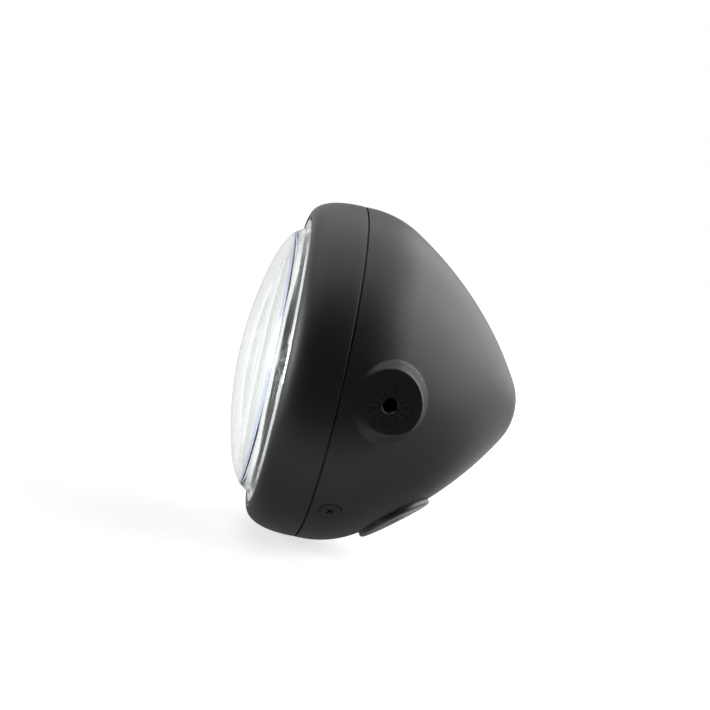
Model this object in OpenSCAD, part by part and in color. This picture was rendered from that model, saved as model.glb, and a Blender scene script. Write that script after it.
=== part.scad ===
// Round side-mounted motorcycle headlight.
// The lamp's axis runs along Y, the glass faces -Y and +Z is up.
// The origin is where the lamp's axis crosses the line of the two side mounts.

/* [Outside form] */
// Outside diameter at the seam between the rim and the housing
outer_d = 165; // [158:1:176]
// Distance from the seam back to the line of the side mounts
mount_behind_seam = 22.7; // [20:0.1:26]
// Straight length of the housing behind the seam
barrel_len = 4; // [2:0.5:8]
// Radius of the first bend behind the straight part
shoulder_r = 48; // [44:1:54]
// How far the first bend turns, in degrees
shoulder_turn = 30; // [28:1:32]
// Radius of the long flank
flank_r = 184; // [174:1:190]
// Slope of the flank where the round nose begins, in degrees
flank_end = 57.4; // [55:0.2:59]
// Thickness of the housing's wall
wall = 2.2; // [1.8:0.1:2.6]
// Break of the edges at the seam
edge_break = 0.4; // [0.2:0.1:0.6]

/* [Rim] */
// Depth of the rim in front of the seam
rim_depth = 25; // [24:0.5:28]
// Width of the rim's face, from its outside to the glass opening
rim_face = 11.1; // [10.6:0.1:11.6]
// Sheet thickness of the rim
rim_t = 1.2; // [1:0.1:1.4]
// Roundness of the rim's section: 2 is an ellipse, more is squarer
rim_roundness = 2.5; // [2.3:0.1:2.8]
// Radius of the rolled front edge
lip_r = 1.5; // [1.3:0.1:1.8]
// How far the lip turns back inside, from the front of the rim
lip_return = 3.6; // [3.2:0.1:4]

/* [Spigot] */
// Length of the housing's spigot inside the rim
spigot_len = 5.5; // [4:0.5:6]
// Thickness of the spigot
spigot_t = 1.5; // [1.2:0.1:1.7]
// Clearance between the spigot and the rim
spigot_gap = 0.4; // [0.3:0.05:0.5]

/* [Glass] */
// How far the glass stands proud of the rim
lens_proud = 19.3; // [17:0.1:22]
// Crown radius of the glass, as a multiple of the radius of its skirt
crown_share = 2.55; // [2.3:0.05:2.9]
// Radius of the bend between crown and skirt, as a share of the radius of the skirt
bend_share = 0.541; // [0.51:0.001:0.57]
// Slope of the crown where the bend begins, in degrees
crown_edge = 16.1; // [15:0.1:17]
// Thickness of the glass
glass_t = 4.2; // [3.6:0.1:4.8]
// Clearance between the skirt of the glass and the rim's lip
lens_gap = 0.8; // [0.5:0.1:1]
// How far the flange of the glass stands out from its skirt
lens_flange = 2.8; // [2.4:0.1:3.4]
// Thickness of that flange
lens_flange_t = 4; // [3:0.5:4.5]
// Thickness of the gasket in front of the flange
gasket_t = 1; // [0.8:0.1:1.4]

/* [Reflector] */
// Focal length of the reflector, as a share of the radius of its mouth
focus_share = 0.368; // [0.355:0.001:0.4]
// Sheet thickness of the reflector
reflector_t = 1.2; // [1:0.1:1.4]
// Radius of the neck that the bulb goes into
neck_r = 19.5; // [19:0.1:20]
// Length of the neck behind the bowl
neck_len = 4.4; // [4:0.2:6]
// Distance of the parking light below the lamp's axis
park_drop = 42; // [38:1:45]
// Radius of the tube of the parking light
park_r = 7.5; // [7:0.1:8]

/* [Retaining ring] */
// Sheet thickness of the retaining ring
ring_t = 1.2; // [1:0.1:1.6]
// Number of lugs, ears and screws on the ring
ring_count = 3; // [3:1:4]
// Width of a lug and of an ear, in degrees
lug_turn = 10; // [9:0.5:11]
// Diameter of the ring's screws
ring_screw_d = 3; // [2.5:0.5:3]

/* [Rim screws and tabs] */
// Place of each rim screw, in degrees from the bottom
screw_deg = 46.8; // [44:0.2:48]
// Distance of the rim screws behind the seam
screw_s = 10; // [9:0.5:12]
// Diameter of the rim screws
screw_d = 5; // [4:0.5:5.5]
// Diameter of their heads
screw_head_d = 10.4; // [9.6:0.1:10.8]
// Length of the rim screws
screw_len = 13; // [12:0.5:15]
// Width of a tab, in degrees
tab_turn = 11; // [10:0.5:12]
// Width of the hook at the top, in degrees
hook_turn = 12; // [10:0.5:14]
// Sheet thickness of the tabs and the hook
tab_t = 1.5; // [1.2:0.1:1.8]

/* [Side mounts] */
// Radius of the flat boss face
boss_r = 12.4; // [12:0.1:14]
// How far the boss faces stand out from the rim's diameter
boss_proud = 0.3; // [0.2:0.1:1.5]
// Core diameter of the M8 thread
thread_core_d = 6.8; // [6.6:0.1:7]
// Length of a bush
bush_len = 17; // [15:0.5:19]
// Radius of the bush's flange
bush_flange_r = 9.5; // [9:0.1:10.5]
// Radius of the bush's body
bush_body_r = 7; // [6.4:0.1:7.6]
// Thickness of the bush's flange
bush_flange_t = 2.5; // [2:0.1:3]
// Number of grooves on the flange's face
groove_count = 14; // [10:1:18]
// Width of a groove
groove_w = 0.9; // [0.6:0.1:1.2]
// Depth of a groove
groove_h = 0.3; // [0.2:0.1:0.6]

/* [Plug] */
// Place of the plug, in degrees from the bottom towards the right
plug_deg = 18.5; // [12:0.5:22]
// Slope of the flank at the plug, in degrees
plug_slope = 36.7; // [36:0.1:39]
// Radius of the plug's outer disc
plug_r = 18.8; // [18:0.1:20]
// Thickness of the plug's outer disc
plug_t = 3.4; // [2.8:0.1:4]
// Radius of the wiring hole that it closes
wire_hole_r = 13; // [12:0.5:14]
// How far the flat seat is sunk into the round flank
seat_sink = 2.1; // [2:0.1:2.5]
// Thickness of the seat
seat_t = 3; // [2.8:0.1:3.4]

/* [Bulb] */
// Radius of the bulb's glass
bulb_r = 8.5; // [8:0.1:9]
// Length of the glass in front of the bulb's flange
bulb_len = 57.5; // [54:0.5:60]
// How far the bulb's flange stands out over the neck
flange_over = 2; // [1.8:0.1:2.2]
// Thickness of the bulb's flange
flange_t = 1.5; // [1.3:0.1:1.7]
// How far the rear body of the bulb lies inside the neck
rear_under = 3.5; // [3:0.1:4.5]
// Length of the rear body behind the flange
rear_len = 12; // [11:0.5:13]

/* [Hidden] */

// Steps of the round forms
round_fn = 96;
small_fn = 48;
wire_fn = 24;
nut_sides = 6;
skin_steps = [8, 12, 8];
bowl_steps = 14;
glass_steps = [8, 10];
roll_steps = 14;
dome_steps = 8;
edge_steps = 4;
flare_steps = 6;
pad_steps = 4;

// How far a cut runs past what it cuts
cut = 1;

// Clearances that pieces share
close_gap = 0.1;
seat_gap = 0.15;
loose_gap = 0.3;

seam_r = outer_d / 2;

// Centres of the three bends of the housing, as [radius, distance behind the seam]
shoulder_c = [seam_r - shoulder_r, barrel_len];
flank_c = shoulder_c + (shoulder_r - flank_r) * [cos(shoulder_turn), sin(shoulder_turn)];
nose_r = flank_r + flank_c[0] / cos(flank_end);
nose_c = flank_c + (flank_r - nose_r) * [cos(flank_end), sin(flank_end)];

// Rim: a superellipse that starts near the seam and rolls over to the glass
roll_start = 8;
roll_over = 0.9;
roll_a = rim_face + roll_over;
roll_c = seam_r - roll_a;
opening_r = seam_r - rim_face;
roll_end = acos(pow((lip_r + roll_over) / roll_a, rim_roundness / 2));
roll_front = -rim_depth * pow(sin(roll_end), 2 / rim_roundness);
lip_back = roll_front + lip_return;
lip_end = acos(pow((rim_t + roll_over) / (roll_a - rim_t), rim_roundness / 2));

// Spigot, and the step where it leaves the wall of the housing
spigot_r = seam_r - rim_t - spigot_gap;
spigot_step = 1.5;

// Glass, from its apex back to its flange
lens_r = opening_r - lens_gap;
lens_apex = -rim_depth - lens_proud;
crown_r = crown_share * lens_r;
bend_r = bend_share * lens_r;
crown_c = [0, lens_apex + crown_r];
bend_c = (crown_r - bend_r) * [sin(crown_edge), 0]
    + [0, crown_c[1] - (crown_r - bend_r) * cos(crown_edge)];
bend_end = asin((lens_r - bend_c[0]) / bend_r);
skirt_in_r = lens_r - glass_t;
bend_end_in = asin((skirt_in_r - bend_c[0]) / (bend_r - glass_t));
flange_front = lip_back + gasket_t;
flange_back = flange_front + lens_flange_t;
lens_edge_r = lens_r + lens_flange;

// Reflector, a parabola that opens at the back of the glass
mouth_step = 1.2;
mouth_r = skirt_in_r - mouth_step;
focus = focus_share * mouth_r;
throat_s = bowl_s(neck_r);
neck_end = throat_s + neck_len;
neck_flange_t = 1;
ring_plane = flange_back + reflector_t;

// Tube of the parking light behind the bowl
park_wall = 1.3;
park_tube = 12;
park_back = bowl_s(park_drop) + park_tube;

// Retaining ring, its ears and its lugs
ring_width = 6.9;
ring_over = 1;
ring_lip = 4;
ring_out_r = lens_edge_r + ring_over;
ring_in_r = ring_out_r - ring_width;
lug_in_r = ring_out_r;
lug_len = 4.3;
ear_r = rim_inside(ring_plane) - 2 * loose_gap;
ring_screw_r = min((lug_in_r + ear_r) / 2,
    rim_inside(ring_plane - lug_len) - ring_screw_d / 2 - close_gap);
ring_first = 60;
pan_h = 2.4;
pan_wide = 1.7;
pan_top = 1.4;
ring_recess = [3.6, 1.4];

// Tabs and hook inside the rim
tab_foot = [-16, -7];
tab_foot_mid = (tab_foot[0] + tab_foot[1]) / 2;
tab_bend = 1;
tab_past_screw = 6;
tab_end = screw_s + tab_past_screw;
tab_out_r = min(spigot_r - spigot_t, shoulder_at(tab_end, wall)) - loose_gap;
hook_toe = 3;
nut_r = 5;
nut_h = 4;

// Rim screws and the pads behind them
pad_r = 8;
screw_sink = 0.55;
screw_edge = 0.3;
screw_point = 0.7;
screw_recess = [4.8, 1.8];
head_depth = (screw_head_d - screw_d) / 2;
screw_top = sqrt(pow(seam_r, 2) - pow(screw_head_d / 2, 2)) - screw_sink;
head_clearance = 4;

// Side mounts
boss_face = seam_r + boss_proud;
boss_round = 1.2;
boss_draft = 0.4;
flare_r = 9;
flare_turn = 60;
flare_in_r = boss_r + boss_round + boss_draft;
flare_out_r = flare_in_r + flare_r * (1 - cos(flare_turn));
flare_top = flank_at(mount_behind_seam + flare_out_r, 0) + flare_r * sin(flare_turn) - loose_gap;
boss_core_t = 3.5;
bush_chamfer = 0.6;
groove_start = 1.6;

// Plug, its seat and its neck
seat_rim = 1;
plug_round = 0.6;
plug_depth = 12;
plug_neck_r = wire_hole_r - 2 * close_gap;
plug_barb = 1.8;
plug_barb_len = 3.4;
plug_lead = 1.5;
plug_catch = 0.6;

// Bulb, measured from the plane that its flange rests on
flange_r = neck_r + flange_over;
rear_r = neck_r - rear_under;
collar_base = 1.5;
collar_wall = 1.4;
neck_flange_r = flange_r + loose_gap + collar_wall;
seat_plane = neck_end + neck_flange_t + collar_base;
bulb_tip = seat_plane - bulb_len;
lock_t = 1;
lock_inner_r = neck_flange_r + loose_gap;
lock_notch = [8, 2.4];
lock_notches = 3;

// Metal base of the bulb
base_sheet = 0.8;
base_floor = 1.2;
cup_gap = 0.7;
cup_r = neck_r - cup_gap;
cup_len = 4.5;
sleeve_len = 12;

// Glass of the bulb and its pinched end
bulb_wall = 1.1;
pinch_back = 3.4;
pinch_len = 6;

// Coils, their wires and the shield under the front coil
wire_spots = [[3.6, 0], [-3.6, 0], [0, 4.4]];
wire_r = 0.5;
thin_wire = 0.4;
coil_r = 0.8;
coil_len = 5;
coil_lead = 2.1;
low_beam = 29.5;
high_beam = 23;
shield_turn = 160;
shield_t = 0.5;
shield_ends = [-4, 3.4];

// Insulated end of the bulb and its blades
insulator_r = rear_r - base_sheet - close_gap;
insulator_start = 3;
insulator_step = 2.5;
insulator_tail = 4;
blade_w = 8;
blade_t = 0.8;
blade_root = 6;
blade_end = 30;
blade_off = 7;

// Rubber boot
boot_t = 2;
boot_edge = 0.8;
boot_hug = 0.25;
boot_overlap = 2.4;
boot_bead = [1.6, 1.4];

// Holder and bulb of the parking light
holder_len = 9;
holder_front = park_back - holder_len;
holder_edge = 0.5;
holder_flange_t = 2;
holder_tail = 6;
socket_r = 5.1;
socket_len = 5;
wedge_r = 4.9;
wedge_len = 9;
wedge_root = 4.6;

// Points on an arc from one slope to another, without the first ones where they are given already
function arc(c, r, from, to, n, first = 0) = [for (i = [first:n]) let (a = from + (to - from) * i / n)
    c + r * [cos(a), sin(a)]];

// The same with the slope counted from the lamp's front
function front_arc(c, r, from, to, n, first = 0) = arc(c, r, from - 90, to - 90, n, first);

function reversed(points) = [for (i = [len(points) - 1:-1:0]) points[i]];

// The housing's skin from the shoulder to the tip of the nose, moved inwards by a depth
function skin(depth) = concat(
    arc(shoulder_c, shoulder_r - depth, 0, shoulder_turn, skin_steps[0]),
    arc(flank_c, flank_r - depth, shoulder_turn, flank_end, skin_steps[1], 1),
    arc(nose_c, nose_r - depth, flank_end, 90, skin_steps[2], 1)
);

// Radius of the inside of the rim at a distance s behind the seam (s is negative)
function rim_inside(s) = roll_c + (roll_a - rim_t)
    * pow(1 - pow(-s / (rim_depth - rim_t), rim_roundness), 1 / rim_roundness);

// Radius of the housing's first bend at a distance s behind the seam, moved inwards by a depth
function shoulder_at(s, depth) = shoulder_c[0]
    + sqrt(pow(shoulder_r - depth, 2) - pow(max(s - shoulder_c[1], 0), 2));

// The same on the long flank
function flank_at(s, depth) = flank_c[0] + sqrt(pow(flank_r - depth, 2) - pow(s - flank_c[1], 2));

// Points on the rim's rounded section, moved inwards by a depth
function roll(depth, from, to) = [for (i = [0:roll_steps]) let (a = from + (to - from) * i / roll_steps)
    [roll_c + (roll_a - depth) * pow(cos(a), 2 / rim_roundness),
     -(rim_depth - depth) * pow(sin(a), 2 / rim_roundness)]];

// Distance of the reflector's bright side behind the seam, at a radius
function bowl_s(r) = flange_back + (mouth_r * mouth_r - r * r) / (4 * focus);

// From the turned frame, with Z running back from the seam, to the lamp's frame
module lamp() {
    translate([0, -mount_behind_seam, 0])
        rotate([-90, 0, 0])
            children();
}

// Turns children that lie along X so that they point at an angle from the bottom, towards the right
module at_clock(deg) {
    rotate([0, 0, 90 - deg])
        children();
}

// A turned part of the lamp
module turned(points) {
    rotate_extrude($fn = round_fn)
        polygon(points);
}

// A part of a turned ring, centred on the X axis
module turned_share(points, width) {
    rotate([0, 0, -width / 2])
        rotate_extrude(angle = width, $fn = round_fn)
            polygon(points);
}

// Places children on a radial axis, with Z pointing outwards from the lamp's axis
module on_radius(deg, s) {
    at_clock(deg)
        translate([0, 0, s])
            rotate([0, 90, 0])
                children();
}

// Places children on the axes of both side mounts
module at_mounts() {
    for (side = [-1, 1])
        on_radius(side * 90, mount_behind_seam)
            children();
}

// Places children on the axes of both rim screws
module at_rim_screws() {
    for (side = [-1, 1])
        on_radius(side * screw_deg, screw_s)
            children();
}

// Places children on the plug's seat, with Z pointing out of the housing
module at_plug() {
    at_clock(plug_deg)
        translate([flank_c[0] + (flank_r - seat_sink) * cos(plug_slope), 0,
                   flank_c[1] + (flank_r - seat_sink) * sin(plug_slope)])
            rotate([0, 90 - plug_slope, 0])
                children();
}

// A cross recess that opens at Z = 0, from its [width, depth]
module cross_recess(size) {
    for (a = [0, 90])
        rotate([0, 0, a])
            translate([-size[0] / 2, -size[0] / 8, -size[1]])
                cube([size[0], size[0] / 4, size[1] + cut]);
}

// The turned shell of the housing with its spigot
module housing_shell() {
    turned(concat(
        [[spigot_r - spigot_t, -spigot_len],
         [spigot_r, -spigot_len],
         [spigot_r, 0],
         [seam_r - edge_break, 0],
         [seam_r, edge_break]],
        skin(0),
        reversed(skin(wall)),
        [[seam_r - wall, spigot_step],
         [spigot_r - spigot_t, spigot_step]]
    ));
}

// The turned space inside the housing
module housing_inside() {
    turned(concat(
        [[0, -spigot_len], [seam_r - wall, -spigot_len]],
        skin(wall)
    ));
}

// One side boss, with a flat face, a rounded edge and a flared foot
module side_boss() {
    rotate_extrude($fn = round_fn)
        polygon(concat(
            [[0, flare_top - flare_r],
             [flare_out_r, flare_top - flare_r]],
            arc([flare_in_r + flare_r, flare_top], flare_r, 180 + flare_turn, 180, flare_steps),
            arc([boss_r, boss_face - boss_round], boss_round, 0, 90, edge_steps),
            [[0, boss_face]]
        ));
}

// The part of a boss that stands inside the housing round the bush
module boss_core() {
    translate([0, 0, boss_face - bush_len + bush_flange_t])
        cylinder(h = bush_len - bush_flange_t - boss_round, r = bush_body_r + boss_core_t, $fn = round_fn);
}

// The bored seat of one bush
module bush_seat() {
    translate([0, 0, boss_face - bush_flange_t])
        cylinder(h = bush_flange_t + cut, r = bush_flange_r + seat_gap, $fn = round_fn);
    translate([0, 0, boss_face - bush_len - cut])
        cylinder(h = bush_len + cut, r = bush_body_r + seat_gap, $fn = round_fn);
}

// Thickened pads behind the rim screws
module screw_pads() {
    intersection() {
        at_rim_screws()
            cylinder(h = seam_r, r = pad_r, $fn = small_fn);
        turned(concat(
            [for (i = [0:pad_steps]) let (s = screw_s + pad_r * (2 * i / pad_steps - 1))
                [shoulder_at(s, wall / 2), s]],
            [[tab_out_r + loose_gap, screw_s + pad_r],
             [tab_out_r + loose_gap, screw_s - pad_r]]
        ));
    }
}

// Countersunk hole for a rim screw
module countersink() {
    sink_r = screw_head_d / 2 + loose_gap;
    hole_r = screw_d / 2 + loose_gap;
    translate([0, 0, screw_top - head_depth - loose_gap])
        cylinder(h = head_depth + loose_gap, r1 = hole_r, r2 = sink_r, $fn = small_fn);
    translate([0, 0, screw_top - close_gap / 2])
        cylinder(h = head_clearance, r = sink_r, $fn = small_fn);
    translate([0, 0, tab_out_r - cut])
        cylinder(h = seam_r - tab_out_r, r = hole_r, $fn = small_fn);
}

// Space over the plug's seat, and the wiring hole through it
module plug_space() {
    cylinder(h = plug_depth, r = plug_r + seat_rim, $fn = round_fn);
    translate([0, 0, -plug_depth])
        cylinder(h = plug_depth + cut, r = wire_hole_r, $fn = round_fn);
}

module housing() {
    color([0.09, 0.09, 0.1])
        lamp()
            difference() {
                union() {
                    housing_shell();
                    difference() {
                        at_mounts()
                            side_boss();
                        housing_inside();
                    }
                    at_mounts()
                        boss_core();
                    screw_pads();
                    at_plug()
                        translate([0, 0, -seat_t])
                            cylinder(h = seat_t, r = plug_r + seat_rim, $fn = round_fn);
                }
                at_mounts()
                    bush_seat();
                at_rim_screws()
                    countersink();
                at_plug()
                    plug_space();
            }
}

// Threaded steel bush with radial grooves on its flange
module mount_bush(side) {
    core_r = thread_core_d / 2;
    color([0.62, 0.62, 0.6])
        lamp()
            on_radius(side * 90, mount_behind_seam)
                difference() {
                    rotate_extrude($fn = round_fn)
                        polygon([
                            [core_r, boss_face - bush_len],
                            [bush_body_r, boss_face - bush_len],
                            [bush_body_r, boss_face - bush_flange_t],
                            [bush_flange_r, boss_face - bush_flange_t],
                            [bush_flange_r, boss_face],
                            [core_r + bush_chamfer, boss_face],
                            [core_r, boss_face - bush_chamfer]
                        ]);
                    for (i = [0:groove_count - 1])
                        rotate([0, 0, i * 360 / groove_count])
                            translate([core_r + groove_start, -groove_w / 2, boss_face - groove_h])
                                cube([bush_flange_r, groove_w, groove_h + cut]);
                }
}

module rim() {
    color([0.1, 0.1, 0.11])
        lamp()
            turned(concat(
                [[seam_r - rim_t, 0],
                 [seam_r - edge_break, 0],
                 [seam_r, -edge_break]],
                roll(0, roll_start, roll_end),
                arc([opening_r + lip_r, roll_front + lip_r], lip_r, -90, -180, edge_steps, 1),
                [[opening_r, lip_back],
                 [opening_r + rim_t, lip_back]],
                roll(rim_t, lip_end, roll_start)
            ));
}

// Section of a strip that is welded inside the rim and runs back under the spigot
function strip_section(end) = [
    [tab_out_r - tab_t, tab_foot[1] + tab_bend],
    [tab_out_r - tab_t, end],
    [tab_out_r, end],
    [tab_out_r, tab_foot[1] + tab_bend / 2],
    [rim_inside(tab_foot[1]) - close_gap, tab_foot[1]],
    [rim_inside(tab_foot_mid) - close_gap, tab_foot_mid],
    [rim_inside(tab_foot[0]) - close_gap, tab_foot[0]],
    [rim_inside(tab_foot[0]) - tab_t - close_gap, tab_foot[0]],
    [rim_inside(tab_foot_mid) - tab_t - close_gap, tab_foot_mid]
];

module rim_tab(side) {
    color([0.55, 0.55, 0.53])
        lamp()
            difference() {
                at_clock(side * screw_deg)
                    turned_share(strip_section(tab_end), tab_turn);
                on_radius(side * screw_deg, screw_s)
                    translate([0, 0, tab_out_r - 2 * tab_t - cut])
                        cylinder(h = 3 * tab_t + 2 * cut, r = screw_d / 2 + loose_gap, $fn = small_fn);
            }
}

// Hook at the top of the rim, with a toe that catches behind the spigot
module rim_hook() {
    toe = spigot_step + loose_gap;
    toe_r = seam_r - wall - loose_gap;
    color([0.55, 0.55, 0.53])
        lamp()
            at_clock(180)
                union() {
                    turned_share(strip_section(toe + hook_toe), hook_turn);
                    turned_share([[tab_out_r - tab_t, toe],
                                  [toe_r, toe],
                                  [toe_r, toe + hook_toe],
                                  [tab_out_r - tab_t, toe + hook_toe]], hook_turn);
                }
}

module tab_nuts() {
    bore_r = screw_d / 2 + close_gap / 2;
    color([0.72, 0.7, 0.62])
        lamp()
            at_rim_screws()
                translate([0, 0, tab_out_r - tab_t - nut_h - loose_gap])
                    difference() {
                        cylinder(h = nut_h, r = nut_r, $fn = nut_sides);
                        translate([0, 0, -cut])
                            cylinder(h = nut_h + 2 * cut, r = bore_r, $fn = small_fn);
                    }
}

module rim_screws() {
    shank_r = screw_d / 2;
    color([0.16, 0.16, 0.17])
        lamp()
            at_rim_screws()
                translate([0, 0, screw_top])
                    rotate([0, 0, 45])
                        difference() {
                            rotate_extrude($fn = small_fn)
                                polygon([[0, 0],
                                         [screw_head_d / 2 - screw_edge, 0],
                                         [screw_head_d / 2, -screw_edge],
                                         [shank_r, -head_depth],
                                         [shank_r, -screw_len + screw_point],
                                         [shank_r - screw_point, -screw_len],
                                         [0, -screw_len]]);
                            cross_recess(screw_recess);
                        }
}

// Turns children to each place of the retaining ring's screws
module each_ring_place() {
    for (i = [0:ring_count - 1])
        rotate([0, 0, ring_first + i * 360 / ring_count])
            children();
}

module ring_lugs() {
    front = ring_plane - lug_len;
    middle = ring_plane - lug_len / 2;
    color([0.55, 0.55, 0.53])
        lamp()
            each_ring_place()
                difference() {
                    turned_share([[lug_in_r, front],
                                  [rim_inside(front) - close_gap, front],
                                  [rim_inside(middle) - close_gap, middle],
                                  [rim_inside(ring_plane) - close_gap, ring_plane],
                                  [lug_in_r, ring_plane]], lug_turn);
                    translate([ring_screw_r, 0, front - cut])
                        cylinder(h = lug_len + 2 * cut, r = ring_screw_d / 2 + close_gap / 2, $fn = small_fn);
                }
}

module retaining_ring() {
    color([0.62, 0.62, 0.6])
        lamp()
            difference() {
                union() {
                    turned([[ring_in_r, ring_plane],
                            [ring_out_r, ring_plane],
                            [ring_out_r, ring_plane + ring_t],
                            [ring_in_r + ring_t, ring_plane + ring_t],
                            [ring_in_r + ring_t, ring_plane + ring_lip],
                            [ring_in_r, ring_plane + ring_lip]]);
                    each_ring_place()
                        turned_share([[ring_out_r - cut, ring_plane],
                                      [ear_r, ring_plane],
                                      [ear_r, ring_plane + ring_t],
                                      [ring_out_r - cut, ring_plane + ring_t]], lug_turn);
                }
                each_ring_place()
                    translate([ring_screw_r, 0, ring_plane - cut])
                        cylinder(h = ring_t + 2 * cut, r = ring_screw_d / 2 + 2 * close_gap, $fn = small_fn);
            }
}

module ring_screws() {
    shank_r = ring_screw_d / 2;
    color([0.72, 0.7, 0.62])
        lamp()
            each_ring_place()
                translate([ring_screw_r, 0, ring_plane + ring_t])
                    difference() {
                        union() {
                            cylinder(h = pan_h, r1 = shank_r * pan_wide, r2 = shank_r * pan_top,
                                     $fn = small_fn);
                            translate([0, 0, -ring_t - lug_len])
                                cylinder(h = ring_t + lug_len, r = shank_r, $fn = small_fn);
                        }
                        translate([0, 0, pan_h])
                            cross_recess(ring_recess);
                    }
}

module lens() {
    color([0.8, 0.88, 0.88, 0.4])
        lamp()
            turned(concat(
                front_arc(crown_c, crown_r, 0, crown_edge, glass_steps[0]),
                front_arc(bend_c, bend_r, crown_edge, bend_end, glass_steps[1], 1),
                [[lens_r, flange_front],
                 [lens_edge_r, flange_front],
                 [lens_edge_r, flange_back],
                 [skirt_in_r, flange_back]],
                front_arc(bend_c, bend_r - glass_t, bend_end_in, crown_edge, glass_steps[1]),
                front_arc(crown_c, crown_r - glass_t, crown_edge, 0, glass_steps[0], 1)
            ));
}

module lens_gasket() {
    color([0.07, 0.07, 0.07])
        lamp()
            turned([[opening_r - loose_gap, lip_back],
                    [lens_edge_r, lip_back],
                    [lens_edge_r, flange_front],
                    [opening_r - loose_gap, flange_front]]);
}

// Points on the reflector's bright side, or at a depth behind it
function bowl(depth, from, to) = [for (i = [0:bowl_steps]) let (r = from + (to - from) * i / bowl_steps)
    [r + depth, bowl_s(r) + depth]];

// The parabola's section with its flange and neck
module reflector_shell() {
    turned(concat(
        [[lens_edge_r, flange_back],
         [lens_edge_r, ring_plane]],
        bowl(reflector_t, mouth_r, neck_r),
        [[neck_r + reflector_t, neck_end],
         [neck_flange_r, neck_end],
         [neck_flange_r, neck_end + neck_flange_t],
         [neck_r, neck_end + neck_flange_t]],
        bowl(0, neck_r, mouth_r)
    ));
}

// Tube of the parking light, which starts on the back of the bowl
module park_tube_wall() {
    difference() {
        translate([0, park_drop, park_back - park_tube])
            cylinder(h = park_tube, r = park_r + park_wall, $fn = small_fn);
        turned(concat(
            [[0, flange_back]],
            [for (i = [0:bowl_steps]) let (r = mouth_r * (1 - i / bowl_steps))
                [r, bowl_s(r) + reflector_t / 2]]
        ));
    }
}

module reflector() {
    color([0.86, 0.87, 0.88])
        lamp()
            difference() {
                union() {
                    reflector_shell();
                    park_tube_wall();
                }
                translate([0, park_drop, flange_back])
                    cylinder(h = park_back - flange_back + cut, r = park_r, $fn = small_fn);
            }
}

// Seat ring for the bulb, fixed to the flange of the neck
module bulb_collar() {
    inner = neck_r - 2 * close_gap;
    foot = neck_end + neck_flange_t;
    back = seat_plane + flange_t;
    color([0.62, 0.62, 0.6])
        lamp()
            turned([[inner, foot],
                    [neck_flange_r, foot],
                    [neck_flange_r, back],
                    [neck_flange_r - collar_wall, back],
                    [neck_flange_r - collar_wall, seat_plane],
                    [inner, seat_plane]]);
}

// Cap ring that holds the bulb in its collar
module bulb_lock_ring() {
    face = seat_plane + flange_t;
    front = neck_end + neck_flange_t;
    inner = rear_r + 2 * loose_gap;
    color([0.72, 0.7, 0.62])
        lamp()
            difference() {
                turned([[inner, face],
                        [lock_inner_r, face],
                        [lock_inner_r, front],
                        [lock_inner_r + lock_t, front],
                        [lock_inner_r + lock_t, face + lock_t],
                        [inner, face + lock_t]]);
                for (i = [0:lock_notches - 1])
                    rotate([0, 0, i * 360 / lock_notches])
                        translate([lock_inner_r - lock_t / 2, -lock_notch[0] / 2, neck_end])
                            cube([2 * lock_t, lock_notch[0], lock_notch[1]]);
            }
}

module bulb_base() {
    cup_front = seat_plane - cup_len;
    face = seat_plane + flange_t;
    sleeve_r = bulb_r + close_gap;
    color([0.75, 0.74, 0.7])
        lamp()
            turned([[sleeve_r, cup_front - sleeve_len],
                    [sleeve_r + base_floor, cup_front - sleeve_len],
                    [sleeve_r + base_floor, cup_front],
                    [cup_r, cup_front],
                    [cup_r, seat_plane],
                    [flange_r, seat_plane],
                    [flange_r, face],
                    [rear_r, face],
                    [rear_r, face + rear_len],
                    [rear_r - base_sheet, face + rear_len],
                    [rear_r - base_sheet, face - base_sheet],
                    [cup_r - base_sheet, face - base_sheet],
                    [cup_r - base_sheet, cup_front + base_floor],
                    [sleeve_r, cup_front + base_floor]]);
}

module bulb_glass() {
    back = seat_plane - pinch_back;
    dome_c = [0, bulb_tip + bulb_r];
    color([0.85, 0.9, 0.92, 0.4])
        lamp()
            difference() {
                turned(concat(
                    front_arc(dome_c, bulb_r, 0, 90, dome_steps),
                    [[bulb_r, back],
                     [0, back],
                     [0, back - pinch_len],
                     [bulb_r - bulb_wall, back - pinch_len]],
                    front_arc(dome_c, bulb_r - bulb_wall, 90, 0, dome_steps)
                ));
                for (spot = wire_spots)
                    translate([spot[0], spot[1], back - pinch_len - cut])
                        cylinder(h = pinch_len + 2 * cut, r = wire_r + close_gap, $fn = wire_fn);
            }
}

// Two coils on their support wires
module bulb_filaments() {
    low = seat_plane - low_beam;
    high = seat_plane - high_beam;
    root = seat_plane + cut;
    ends = [high + coil_len / 2, high - coil_len / 2, low - coil_len / 2 - coil_lead];
    color([0.55, 0.53, 0.5])
        lamp()
            union() {
                for (mid = [low, high])
                    translate([0, 0, mid - coil_len / 2])
                        cylinder(h = coil_len, r = coil_r, $fn = wire_fn);
                for (i = [0:2]) {
                    translate([wire_spots[i][0], wire_spots[i][1], ends[i] - wire_r])
                        cylinder(h = root - ends[i] + wire_r, r = wire_r, $fn = wire_fn);
                    translate([0, 0, ends[i]])
                        rotate([0, 0, atan2(wire_spots[i][1], wire_spots[i][0])])
                            rotate([0, 90, 0])
                                cylinder(h = norm(wire_spots[i]), r = thin_wire, $fn = wire_fn);
                }
                translate([0, 0, ends[2]])
                    cylinder(h = high - ends[2], r = thin_wire, $fn = wire_fn);
            }
}

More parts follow.
